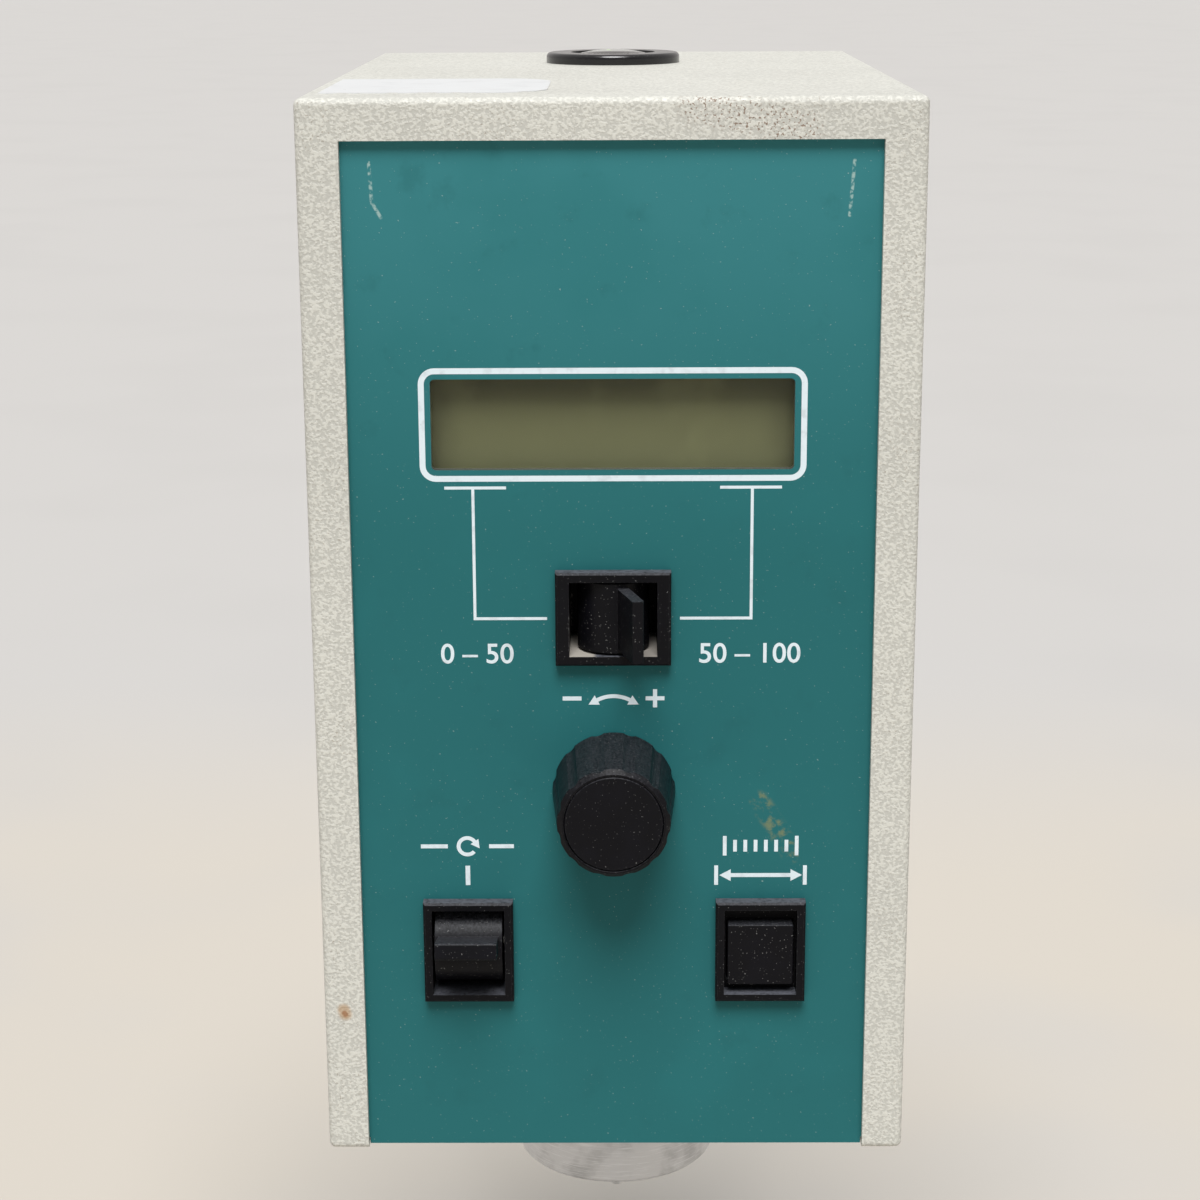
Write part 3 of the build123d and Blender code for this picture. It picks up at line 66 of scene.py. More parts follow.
FILM_FRONT = corner("panel_film").y
LIP_FRONT = corner("cover").y
TOP = corner("cover", high=True).z
HEAD_BOTTOM = corner("cover").z
PRINT_LIFT = 0.02 * MM
LABEL_SINK = 0.01 * MM

# The camera's place in millimetres, its turn in degrees and its lens, fitted to the photograph
CAMERA_PLACE = (1.44, -632.18, 174.31)
CAMERA_TURN = (75.1586, 0.281, 0.4158)
CAMERA_LENS = 75.544
CAMERA_SENSOR = 36.0


def wire(tree, node, values):
    """Sets a node's inputs, by name or number, to plain values or to other nodes' outputs."""
    for key, value in values.items():
        if isinstance(value, bpy.types.NodeSocket):
            tree.links.new(value, node.inputs[key])
        else:
            node.inputs[key].default_value = value
    return node


def add_node(tree, kind, values=None, **settings):
    """A new node with its settings and inputs."""
    node = tree.nodes.new(kind)
    for name, value in settings.items():
        setattr(node, name, value)
    return wire(tree, node, values or {})


# ---------------------------------------------------------------- meshes


def place_object(name, data):
    """A new object in the scene."""
    thing = bpy.data.objects.new(name, data)
    bpy.context.scene.collection.objects.link(thing)
    return thing


def final_mesh(thing):
    """An object's mesh with its modifiers applied."""
    graph = bpy.context.evaluated_depsgraph_get()
    return bpy.data.meshes.new_from_object(thing.evaluated_get(graph))


def keep(name, mesh, body, finish):
    """Makes a mesh a piece that rides on a body of the model."""
    mesh.name = name
    mesh.materials.clear()
    mesh.materials.append(finish)
    for face in mesh.polygons:
        face.use_smooth = False
    piece = place_object(name, mesh)
    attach(piece, body)
    return piece


def mesh_of(verts, faces):
    """A closed mesh with its faces turned outwards."""
    mesh = bpy.data.meshes.new("shape")
    mesh.from_pydata([tuple(v) for v in verts], [], faces)
    tidy = bmesh.new()
    tidy.from_mesh(mesh)
    bmesh.ops.remove_doubles(tidy, verts=tidy.verts, dist=1e-7)
    bmesh.ops.recalc_face_normals(tidy, faces=tidy.faces)
    tidy.to_mesh(mesh)
    tidy.free()
    return mesh


def rounded(x0, x1, z0, z1, radius, steps=8):
    """The corner-rounded outline of a rectangle, anticlockwise, in millimetres."""
    points = []
    for cx, cz, start in ((x1 - radius, z1 - radius, 0), (x0 + radius, z1 - radius, 90),
                          (x0 + radius, z0 + radius, 180), (x1 - radius, z0 + radius, 270)):
        for k in range(steps + 1):
            turn = math.radians(start + 90 * k / steps)
            points.append((cx + radius * math.cos(turn), cz + radius * math.sin(turn)))
    return points


def arc(cx, cz, radius, start, end, steps=24):
    """Points on a circle between two angles in degrees."""
    turns = [math.radians(start + (end - start) * k / steps) for k in range(steps + 1)]
    return [(cx + radius * math.cos(t), cz + radius * math.sin(t)) for t in turns]


class Ink:
    """Thin raised ink on one flat face, gathered into one mesh."""

    def __init__(self, place, thick):
        self.place = place
        self.thick = thick
        self.verts = []
        self.faces = []

    def slab(self, outline):
        """A filled convex shape from its outline."""
        start = len(self.verts)
        count = len(outline)
        self.verts += [(x, z, 0.0) for x, z in outline]
        self.verts += [(x, z, self.thick) for x, z in outline]
        self.faces.append(list(range(start + count - 1, start - 1, -1)))
        self.faces.append(list(range(start + count, start + 2 * count)))
        for k in range(count):
            after = (k + 1) % count
            self.faces.append([start + k, start + after, start + count + after, start + count + k])

    def ring(self, outer, inner, closed=True):
        """The band between two outlines with equal numbers of points."""
        start = len(self.verts)
        count = len(outer)
        for height in (0.0, self.thick):
            for line in (outer, inner):
                self.verts += [(x, z, height) for x, z in line]
        outer_low, inner_low, outer_high, inner_high = (start + k * count for k in range(4))
        for k in range(count if closed else count - 1):
            after = (k + 1) % count
            self.faces.append([outer_high + k, outer_high + after, inner_high + after, inner_high + k])
            self.faces.append([outer_low + k, inner_low + k, inner_low + after, outer_low + after])
            self.faces.append([outer_low + k, outer_low + after, outer_high + after, outer_high + k])
            self.faces.append([inner_low + k, inner_high + k, inner_high + after, inner_low + after])
        if not closed:
            for k in (0, count - 1):
                self.faces.append([outer_low + k, outer_high + k, inner_high + k, inner_low + k])

    def bar(self, x0, x1, z0, z1):
        """A straight line's rectangle."""
        self.slab([(x0, z0), (x1, z0), (x1, z1), (x0, z1)])

    def sweep(self, cx, cz, radius, width, start, end):
        """A part of a circle's line."""
        outer = arc(cx, cz, radius + width / 2, start, end)
        inner = arc(cx, cz, radius - width / 2, start, end)
        self.ring(outer, inner, closed=False)

    def tip(self, x, z, turn, size):
        """An arrow tip whose point lies at x, z."""
        turn = math.radians(turn)
        along = Vector((math.cos(turn), math.sin(turn)))
        across = Vector((-along.y, along.x))
        point = Vector((x, z))
        back = point - along * size
        wing = across * size * 0.55
        self.slab([tuple(point), tuple(back + wing), tuple(back - wing)])

    def head(self, cx, cz, radius, angle, way, size):
        """An arrow head that carries an arc on from its end; way is 1 for anticlockwise."""
        turn = math.radians(angle)
        x = cx + radius * math.cos(turn) - way * size * math.sin(turn)
        z = cz + radius * math.sin(turn) + way * size * math.cos(turn)
        self.tip(x, z, angle + way * 90, size)

    def text(self, words, x, z, height):
        """Plain figures, centred at x, z, with their mesh in the same ink."""
        curve = bpy.data.curves.new("figures", "FONT")
        curve.body = words
        curve.align_x = "CENTER"
        curve.align_y = "CENTER"
        curve.size = height / 0.73
        curve.extrude = self.thick / 2
        curve.offset = height * 0.014
        curve.resolution_u = 6
        holder = place_object("figures", curve)
        flat = final_mesh(holder)
        low = min(v.co.y for v in flat.vertices)
        high = max(v.co.y for v in flat.vertices)
        start = len(self.verts)
        for v in flat.vertices:
            self.verts.append((v.co.x + x, v.co.y - (low + high) / 2 + z, v.co.z + self.thick / 2))
        self.faces += [[start + k for k in face.vertices] for face in flat.polygons]
        bpy.data.objects.remove(holder)
        bpy.data.curves.remove(curve)
        bpy.data.meshes.remove(flat)

    def mesh(self):
        """All the ink as one mesh, put in its place."""
        return mesh_of([self.place @ (Vector(v) * MM) for v in self.verts], self.faces)


def facing_front(depth):
    """Flat drawings on a face that looks forward: x to the right, second number up."""
    return Matrix(((1, 0, 0, 0), (0, 0, -1, depth), (0, 1, 0, 0), (0, 0, 0, 1)))


def facing_up(height):
    """Flat drawings on a face that looks up: x to the right, second number rearward."""
    return Matrix.Translation((0, 0, height))


def turned(profile, steps=48):
    """Vertices and faces of a lathe-turned shape about Z, from (radius, height) points."""
    verts = []
    faces = []
    count = len(profile)
    for k in range(steps):
        turn = 2 * math.pi * k / steps
        verts += [(r * math.cos(turn), r * math.sin(turn), z) for r, z in profile]
    for k in range(steps):
        here, there = k * count, ((k + 1) % steps) * count
        for j in range(count - 1):
            faces.append([here + j, there + j, there + j + 1, here + j + 1])
    return verts, faces


# ---------------------------------------------------------------- finishes


class Finish:
    """One procedural material, read in Object coordinates and built up layer by layer."""

    def __init__(self, name, colour, rough, metallic=0.0, specular=0.5, **sockets):
        self.material = bpy.data.materials.new(name)
        self.material.use_nodes = True
        self.tree = self.material.node_tree
        self.shader = self.tree.nodes["Principled BSDF"]
        self.colour = (*linear(colour), 1.0)
        self.rough = rough
        self.normal = None
        wire(self.tree, self.shader, {"Base Color": self.colour, "Roughness": rough, "Metallic": metallic,
                                      "Specular IOR Level": specular, **sockets})
        self.coordinates = self.add("ShaderNodeTexCoord")
        self.place = self.coordinates.outputs["Object"]

    def add(self, kind, values=None, **settings):
        """A new node of this material."""
        return add_node(self.tree, kind, values, **settings)

    def vector(self, operation, first, second):
        """One step of arithmetic on two vectors."""
        return self.add("ShaderNodeVectorMath", {0: first, 1: second}, operation=operation)

    def sum(self, operation, first, second, clamp=False):
        """One step of arithmetic on two values or masks."""
        node = self.add("ShaderNodeMath", {0: first, 1: second}, operation=operation, use_clamp=clamp)
        return node.outputs[0]

    def split(self, vector):
        """The X, Y and Z of a vector."""
        return self.add("ShaderNodeSeparateXYZ", {"Vector": vector}).outputs

    def stretch(self, scale=(1, 1, 1), turn=(0, 0, 0), shift=(0, 0, 0)):
        """The model's coordinates, scaled, turned and shifted."""
        values = {"Vector": self.place, "Scale": scale, "Rotation": turn, "Location": shift}
        return self.add("ShaderNodeMapping", values).outputs[0]

    def noise(self, size, detail=3.0, rough=0.55, place=None):
        """Soft noise with a cell size given in millimetres."""
        values = {"Vector": place or self.place, "Scale": 1 / (size * MM), "Detail": detail}
        return self.add("ShaderNodeTexNoise", {**values, "Roughness": rough}).outputs["Fac"]

    def cells(self, size):
        """Distance to the middle of the nearest cell, with the cell size in millimetres."""
        values = {"Vector": self.place, "Scale": 1 / (size * MM)}
        return self.add("ShaderNodeTexVoronoi", values).outputs["Distance"]

    def bands(self, direction, pitch, place, distortion):
        """Stripes across one direction, with their pitch in millimetres."""
        values = {"Vector": place, "Scale": 0.314 / (pitch * MM), "Distortion": distortion}
        node = self.add("ShaderNodeTexWave", values, wave_type="BANDS", bands_direction=direction)
        return node.outputs["Fac"]

    def step(self, value, low, high):
        """0 at low and 1 at high, with a soft change between them."""
        values = {"Value": value, "From Min": low, "From Max": high}
        return self.add("ShaderNodeMapRange", values, interpolation_type="SMOOTHSTEP").outputs[0]

    def part(self, axis, low, high):
        """0 at low and 1 at high along one axis, in millimetres."""
        return self.step(self.split(self.place)[axis], low * MM, high * MM)

    def facing(self, axis, low, high):
        """1 where the surface looks along an axis of the model."""
        return self.step(self.split(self.coordinates.outputs["Normal"])[axis], low, high)

    def edges(self, radius):
        """1 along outer and inner edges, 0 on flat faces."""
        soft = self.add("ShaderNodeBevel", {"Radius": radius * MM}, samples=6)
        flat = self.add("ShaderNodeNewGeometry")
        likeness = self.vector("DOT_PRODUCT", soft.outputs[0], flat.outputs["Normal"])
        return self.step(likeness.outputs["Value"], 0.985, 0.90)

    def line(self, start, end, width):
        """1 on a straight stroke between two points (x, z) of an upright face, in millimetres."""
        here = self.split(self.place)
        flat = self.add("ShaderNodeCombineXYZ", {"X": here["X"], "Y": here["Z"]}).outputs[0]
        first = Vector((*start, 0)) * MM
        way = Vector((*end, 0)) * MM - first
        offset = self.vector("SUBTRACT", flat, first).outputs[0]
        along = self.vector("DOT_PRODUCT", offset, way / way.length_squared).outputs["Value"]
        share = self.sum("MULTIPLY", along, 1.0, clamp=True)
        near = self.add("ShaderNodeVectorMath", {0: way, "Scale": share}, operation="SCALE").outputs[0]
        gap = self.vector("DISTANCE", offset, near).outputs["Value"]
        return self.step(gap, width * MM, width * MM * 0.4)

    def times(self, *masks):
        """Where all the masks are 1 together."""
        result = masks[0]
        for mask in masks[1:]:
            result = self.sum("MULTIPLY", result, mask)
        return result

    def tint(self, colour, mask, amount=1.0):
        """Lays a colour over what is there where the mask is 1."""
        node = self.add("ShaderNodeMix", data_type="RGBA")
        factor = [k for k, s in enumerate(node.inputs) if s.name == "Factor" and s.type == "VALUE"][0]
        under, over = [k for k, s in enumerate(node.inputs) if s.type == "RGBA"]
        if amount != 1.0:
            mask = self.sum("MULTIPLY", mask, amount)
        wire(self.tree, node, {factor: mask, under: self.colour, over: (*linear(colour), 1.0)})
        self.colour = [s for s in node.outputs if s.type == "RGBA"][0]
        wire(self.tree, self.shader, {"Base Color": self.colour})

    def polish(self, mask, change):
        """Changes the roughness by up to the given amount where the mask is 1."""
        self.rough = self.sum("ADD", self.rough, self.sum("MULTIPLY", mask, change), clamp=True)
        wire(self.tree, self.shader, {"Roughness": self.rough})

    def bump(self, height, depth, strength=1.0):
        """Relief of the given depth in millimetres."""
        node = self.add("ShaderNodeBump", {"Height": height, "Strength": strength, "Distance": depth * MM})
        if self.normal is not None:
            wire(self.tree, node, {"Normal": self.normal})
        self.normal = node.outputs[0]
        wire(self.tree, self.shader, {"Normal": self.normal})

    def soften(self, radius):
        """Rounds the look of sharp edges; it comes before any relief."""
        self.normal = self.add("ShaderNodeBevel", {"Radius": radius * MM}, samples=6).outputs[0]
        wire(self.tree, self.shader, {"Normal": self.normal})


def whole(colour):
    """A colour as parts of one, from 0 to 255 or from parts of one."""
    return [c / 255 for c in colour] if max(colour) > 1 else list(colour)


def lighter(colour, times):
    """A colour multiplied, so that a number under 1 darkens it."""
    return [min(1.0, c * times) for c in whole(colour)]


def linear(colour):
    """Linear light for a screen colour."""
    return [c / 12.92 if c <= 0.04045 else ((c + 0.055) / 1.055) ** 2.4 for c in whole(colour)]


def wrinkle_paint(name, colour, worn):
    """Baked wrinkle paint on folded sheet steel, with painted shade in the hollows of its folds, a painted
    highlight on their crests, and dirt caught in its pits.
    """
    paint = Finish(name, colour, 0.50, specular=0.35)
    paint.tint(lighter(colour, 0.955), paint.step(paint.noise(38, 4), 0.40, 0.72), 0.8)
    folds = paint.step(paint.noise(0.62, 2.5, 0.5), 0.40, 0.62)
    grain = paint.noise(0.28, 2.0, 0.5)
    # Painted shade and painted highlight: the hollows of the folds are darkened and their crests lightened,
    # as light from above would fall on the relief.
    paint.tint(lighter(colour, 0.86), paint.step(folds, 0.45, 0.0), 0.55)
    paint.tint(lighter(colour, 1.05), paint.step(folds, 0.6, 1.0), 0.5)
    pits = paint.step(paint.noise(0.42, 1.0, place=paint.stretch(shift=(0.2, 0.5, 0))), 0.665, 0.70)
    paint.tint((142, 128, 112), paint.times(pits, paint.step(paint.noise(16, 2), 0.44, 0.62)), 0.55)
    paint.tint(worn, paint.times(paint.edges(0.4), paint.step(paint.noise(1.7, 3), 0.57, 0.66)), 0.45)
    paint.polish(folds, -0.10)
    paint.bump(folds, 0.07, 0.8)
    paint.bump(grain, 0.03, 0.6)
    return paint


def aged_cover(name, colour, worn):
    """The cover's paint, with brown specks on the upper lip and one rust spot."""
    paint = wrinkle_paint(name, colour, worn)
    front = paint.part("Y", LIP_FRONT / MM + 2.5, LIP_FRONT / MM + 1.0)
    specks = paint.step(paint.noise(0.5, 1.5, place=paint.stretch(shift=(0.9, 0, 0.3))), 0.575, 0.63)
    patch = paint.line((15.5, 144.6), (34.5, 140.2), 4.6)
    halo = paint.line((-53.2, -30.0), (-52.9, -30.9), 1.7)
    spot = paint.line((-53.1, -30.7), (-52.9, -31.0), 0.75)
    paint.tint((122, 98, 80), paint.times(patch, specks, front), 0.85)
    paint.tint((176, 146, 112), paint.times(halo, front), 0.75)
    paint.tint((148, 104, 70), paint.times(spot, front), 0.8)
    return paint


def moulding(name, colour, rough, dust, wear, round_edge=0.18, specular=0.13):
    """Black moulded plastic with a fine grain, dust on what looks up and paler edges."""
    black = Finish(name, colour, rough, specular=specular)
    black.soften(round_edge)
    black.tint(lighter(colour, 1.5), black.step(black.noise(6, 3), 0.45, 0.75), 0.5)
    fine = black.noise(0.45, 4, 0.65)
    lying = black.times(black.facing("Z", 0.25, 0.95), black.step(fine, 0.30, 0.72))
    black.tint((104, 106, 112), lying, dust)
    specks = black.step(black.noise(0.38, 1, 0.5, black.stretch(shift=(0.4, 0.2, 0.7))), 0.70, 0.74)
    black.tint((150, 150, 148), specks, dust)
    black.tint((84, 84, 88), black.times(black.edges(0.2), black.step(fine, 0.40, 0.60)), wear)
    black.polish(black.noise(1.8, 4), 0.16)
    black.bump(black.noise(0.35, 2), 0.010, 0.6)
    return black


def switch_case(name, colour):
    """The switch housings' plastic, with pale dust gathered along the sills of their openings."""
    case = moulding(name, colour, 0.44, dust=0.4, wear=0.4)
    rim = corner("selector_housing").y / MM
    sill = case.times(case.facing("Z", 0.6, 0.95), case.part("Y", rim + 7.5, rim + 1.5))
    case.tint((96, 98, 106), case.times(sill, case.step(case.noise(0.8, 3), 0.2, 0.6)), 0.75)
    low = corner("selector_housing").z / MM
    heaps = (((-8.4, low + 2.2), (-4.4, low + 1.3), 1.5, (176, 170, 160)),
             ((6.4, low + 2.0), (8.4, low + 2.2), 1.3, (160, 154, 146)))
    for start, end, width, colour in heaps:
        heap = case.line(start, end, width)
        case.tint(colour, case.times(heap, case.facing("Z", 0.4, 0.9)), 0.9)
    seam = case.line((-8.15, low + 3.0), (-8.15, low + 9.5), 0.35)
    case.tint((128, 126, 124), case.times(seam, case.step(case.noise(0.7, 2), 0.45, 0.6)), 0.6)
    return case


def cut_metal(name, colour, rough, grain=(1, 1, 1), size=0.35, spread=0.14):
    """Machined, turned or drawn metal: the grain is stretched along what it was cut along."""
    metal = Finish(name, colour, rough, metallic=1.0)
    metal.soften(0.12)
    lines = metal.noise(size, 3, 0.6, place=metal.stretch(scale=grain))
    patches = metal.noise(7, 4)
    metal.tint(lighter(colour, 0.80), metal.step(patches, 0.42, 0.70), 0.7)
    metal.tint(lighter(colour, 1.10), metal.step(lines, 0.50, 0.66), 0.6)
    metal.polish(lines, spread)
    metal.polish(patches, spread * 0.6)
    metal.bump(lines, 0.006, 0.5)
    return metal


def film_print(name, high, low):
    """The printed film, with painted light: it is lighter at its top and darker downwards, as the light from
    above falls on it; it carries scratches, a smear and dust.
    """
    film = Finish(name, high, 0.44, specular=0.12)
    # Painted light: the film's upper colour is the lit tone and its lower colour the shaded tone, blended
    # over the upper part of the panel.
    film.tint(low, film.part("Z", TOP / MM - 4, TOP / MM - 90))
    film.tint(lighter(low, 1.07), film.step(film.noise(26, 3), 0.48, 0.70), 0.35)
    film.tint(lighter(low, 0.92), film.step(film.noise(9, 4, 0.6), 0.58, 0.74), 0.3)
    scratches = (((-43.8, 134.4), (-43.5, 127.6)), ((-43.4, 127.2), (-41.9, 124.6)),
                 ((43.8, 134.5), (43.1, 124.7)))
    for start, end in scratches:
        scratch = film.times(film.line(start, end, 0.42), film.step(film.noise(0.8, 3), 0.40, 0.60))
        film.tint((168, 192, 186), scratch, 0.7)
    patches = film.step(film.noise(2.2, 4, 0.65), 0.46, 0.64)
    film.tint((150, 142, 84), film.times(film.line((28.0, 12.6), (34.4, 2.0), 2.6), patches), 0.42)
    dust = film.noise(0.45, 1, 0.5, film.stretch(shift=(0.7, 0.1, 0.4)))
    film.tint((158, 178, 172), film.step(dust, 0.735, 0.76), 0.5)
    film.polish(film.noise(12, 4), 0.18)
    film.bump(film.noise(0.28, 2), 0.005, 0.5)
    return film


def ink_print(name, colour):
    """Pale screen print, a little worn."""
    ink = Finish(name, colour, 0.5, specular=0.35)
    ink.tint(lighter(colour, 0.90), ink.step(ink.noise(2.6, 3), 0.50, 0.72), 0.7)
    ink.tint(lighter(colour, 0.72), ink.step(ink.noise(0.7, 3, 0.7), 0.66, 0.76), 0.6)
    ink.polish(ink.noise(1.2, 3), 0.2)
    ink.bump(ink.noise(0.16, 2), 0.006, 0.6)
    return ink


def display_face(name, colour):
    """The unlit cell of the display, with painted shade towards its upper edge and its ends, where the
    recessed frame shades it.
    """
    cell = Finish(name, colour, 0.35, specular=0.3)
    top = corner("display_window", high=True).z / MM
    right = corner("display_window", high=True).x / MM
    # Painted shade: the cell is darkened under the window's upper edge and at both ends.
    cell.tint(lighter(colour, 0.74), cell.part("Z", top - 6.5, top - 1.0), 0.9)
    for side in (1, -1):
        cell.tint(lighter(colour, 0.82), cell.part("X", side * (right - 7), side * right), 0.7)
    cell.tint(lighter(colour, 1.08), cell.step(cell.noise(11, 3), 0.48, 0.70), 0.5)
    cell.polish(cell.noise(4, 3), 0.12)
    cell.bump(cell.noise(0.3, 2), 0.004, 0.5)
    return cell


def clear(name, colour, alpha):
    """A clear window that lets most light through."""
    lens = Finish(name, colour, 0.06, Alpha=alpha, IOR=1.49)
    lens.tint(lighter(colour, 1.9), lens.step(lens.noise(5, 4), 0.55, 0.75), 0.5)
    lens.polish(lens.step(lens.noise(2.5, 4), 0.50, 0.70), 0.16)
    lens.bump(lens.noise(14, 2), 0.01, 0.2)
    return lens


def glass(name, colour, rough=0.02, index=1.47):
    """Clear glass, crystal or liquid with a few smears."""
    dome = Finish(name, colour, rough, **{"Transmission Weight": 1.0, "IOR": index})
    dome.polish(dome.step(dome.noise(1.4, 3), 0.58, 0.72), 0.10)
    dome.bump(dome.noise(6, 2), 0.004, 0.2)
    return dome


def laminate(name, colour):
    """Green board with paler copper tracks under the lacquer."""
    board = Finish(name, colour, 0.38, specular=0.4)
    for turn, pitch in ((0, 5.1), (1.5708, 7.6)):
        wave = board.bands("X", pitch, board.stretch(turn=(0, turn, 0)), 0.0)
        tracks = board.step(wave, 0.86, 0.93)
        pieces = board.step(board.noise(9 + pitch, 1), 0.50, 0.54)
        board.tint((64, 118, 78), board.times(tracks, pieces), 0.8)
    board.tint((196, 198, 186), board.step(board.cells(2.54), 0.12, 0.09), 0.5)
    board.polish(board.noise(2, 3), 0.15)
    board.bump(board.noise(0.5, 2), 0.01, 0.5)
    return board


def winding(name, colour, pitch):
    """Enamelled wire laid in turns, one above the other."""
    coil = Finish(name, colour, 0.28, metallic=0.85)
    turns = coil.bands("Z", pitch, coil.place, 0.25)
    coil.tint(lighter(colour, 0.45), coil.step(turns, 0.35, 0.05), 0.9)
    coil.tint(lighter(colour, 1.25), coil.step(coil.noise(3, 3), 0.50, 0.72), 0.5)
    coil.polish(coil.noise(1, 3), 0.2)
    coil.bump(turns, 0.10, 0.9)
    return coil


def finishes(colours):
    """The material of every slot in the record, made once."""
    black = colours.plastic
    along_x, along_y, round_z = (0.03, 1, 1), (1, 0.03, 1), (0.04, 0.04, 1)
    # Mouldings: colour, roughness, dust, wear. Metals: colour, roughness, grain, grain size, spread.
    families = {
        "cover_paint": (aged_cover, colours.cover, (150, 146, 138)),
        "rear_paint": (wrinkle_paint, lighter(colours.cover, 0.97), (140, 138, 132)),
        "panel_print": (film_print, colours.film_lit_high, colours.film_shaded_low),
        "panel_plate": (cut_metal, (186, 188, 190), 0.34, along_x),
        "chassis_steel": (cut_metal, (172, 176, 178), 0.36, (1, 0.05, 1), 0.5),
        "display_lens": (clear, (30, 34, 28), 0.10),
        "display_cell": (display_face, colours.display),
        "display_metal": (cut_metal, (150, 152, 152), 0.42, (0.05, 1, 1)),
        "board_laminate": (laminate, (28, 84, 52)),
        "switch_black": (switch_case, black),
        "paddle_black": (moulding, lighter(black, 1.1), 0.38, 0.42, 0.3),
        "knob_black": (moulding, black, 0.34, 0.22, 0.3),
        "cap_black": (moulding, lighter(black, 1.1), 0.36, 0.3, 0.45),
        "stepper_black": (moulding, (30, 30, 32), 0.5, 0.1, 0.3),
        "chip_black": (moulding, (34, 35, 37), 0.55, 0.1, 0.25),
        "level_black": (moulding, lighter(black, 0.8), 0.14, 0.1, 0.1, 0.3, 0.6),
        "inlet_black": (moulding, (24, 24, 26), 0.42, 0.25, 0.3),
        "contact_metal": (cut_metal, (196, 190, 170), 0.30, along_y),
        "screw_steel": (cut_metal, (170, 170, 168), 0.30, (1, 1, 1), 0.5),
        "spacer_brass": (cut_metal, (206, 176, 104), 0.30, along_y),
        "spring_steel": (cut_metal, (152, 154, 160), 0.26, (1, 1, 1), 0.6),
        "rod_steel": (cut_metal, (192, 192, 190), 0.20, (1, 0.9, 1), 0.25, 0.10),
        "block_aluminium": (cut_metal, (192, 194, 196), 0.38, along_x),
        "cup_aluminium": (cut_metal, (196, 197, 200), 0.30, round_z, 0.22, 0.12),
        "shaft_steel": (cut_metal, (182, 184, 186), 0.18, round_z, 0.3),
        "gear_brass": (cut_metal, (214, 182, 100), 0.26, (1, 1, 1), 0.8),
        "bush_bronze": (cut_metal, (176, 128, 78), 0.34, round_z, 0.3),
        "jewel_ruby": (glass, (186, 20, 44), 0.04, 1.76),
        "coil_copper": (winding, (196, 106, 58), 0.42),
        "rotor_aluminium": (cut_metal, (200, 201, 203), 0.28, round_z, 0.25),
        "transformer_iron": (winding, (112, 114, 118), 1.0),
        "level_clear": (glass, (236, 244, 240)),
        "level_fluid": (glass, (176, 214, 92), 0.02, 1.36),
    }
    return {slot: family(slot, *looks).material for slot, (family, *looks) in families.items()}


# Slot name to material, filled by the first step
PAINTED = {}


def paint(nodes):
    """Gives CAD nodes the finish of the slot that the record names for them."""
    slots = {row["node"]: row["material_slot"] for row in frame["record"]["subparts"]}
    for name in nodes:
        shape = frame["nodes"][name].data
        shape.materials.clear()
        shape.materials.append(PAINTED[slots[name]])


# ---------------------------------------------------------------- repeats


class Repeat:
    """A Geometry Nodes tree with named inputs, turned into a plain mesh."""

    SOCKETS = {
        float: "NodeSocketFloat",
        int: "NodeSocketInt",
        bpy.types.Object: "NodeSocketObject",
        bpy.types.Material: "NodeSocketMaterial",
    }

    def __init__(self, name, **inputs):
        self.tree = bpy.data.node_groups.new(name, "GeometryNodeTree")
        face = self.tree.interface
        face.new_socket("Geometry", in_out="INPUT", socket_type="NodeSocketGeometry")
        self.values = {}
        for label, value in inputs.items():
            socket = face.new_socket(label, in_out="INPUT", socket_type=self.SOCKETS[type(value)])
            self.values[socket.identifier] = value
        face.new_socket("Geometry", in_out="OUTPUT", socket_type="NodeSocketGeometry")
        self.start = self.tree.nodes.new("NodeGroupInput")
        self.end = self.tree.nodes.new("NodeGroupOutput")

    def add(self, kind, values=None, **settings):
        """A new node of this tree."""
        return add_node(self.tree, kind, values, **settings)

    def size(self, label):
        """One of the tree's named inputs."""
        return self.start.outputs[label]

    def build(self, result, points=None):
        """Ends the tree in real geometry with its material and returns the mesh."""
        real = self.add("GeometryNodeRealizeInstances", {"Geometry": result}).outputs[0]
        dressed = self.add("GeometryNodeSetMaterial", {"Geometry": real, "Material": self.size("Finish")})
        wire(self.tree, self.end, {0: dressed.outputs[0]})
        mesh = bpy.data.meshes.new("points")
        places = points or [((0, 0, 0), (0, 0, 1))]
        mesh.from_pydata([p for p, _ in places], [], [])
        out = mesh.attributes.new("out", "FLOAT_VECTOR", "POINT")
        for k, (_, way) in enumerate(places):
            out.data[k].vector = way
        holder = place_object("holder", mesh)
        modifier = holder.modifiers.new("repeat", "NODES")
        modifier.node_group = self.tree
        for identifier, value in self.values.items():
            modifier[identifier] = value
        shape = final_mesh(holder)
        holder.modifiers.remove(modifier)
        bpy.data.objects.remove(holder)
        if "out" in shape.attributes:
            shape.attributes.remove(shape.attributes["out"])
        return shape


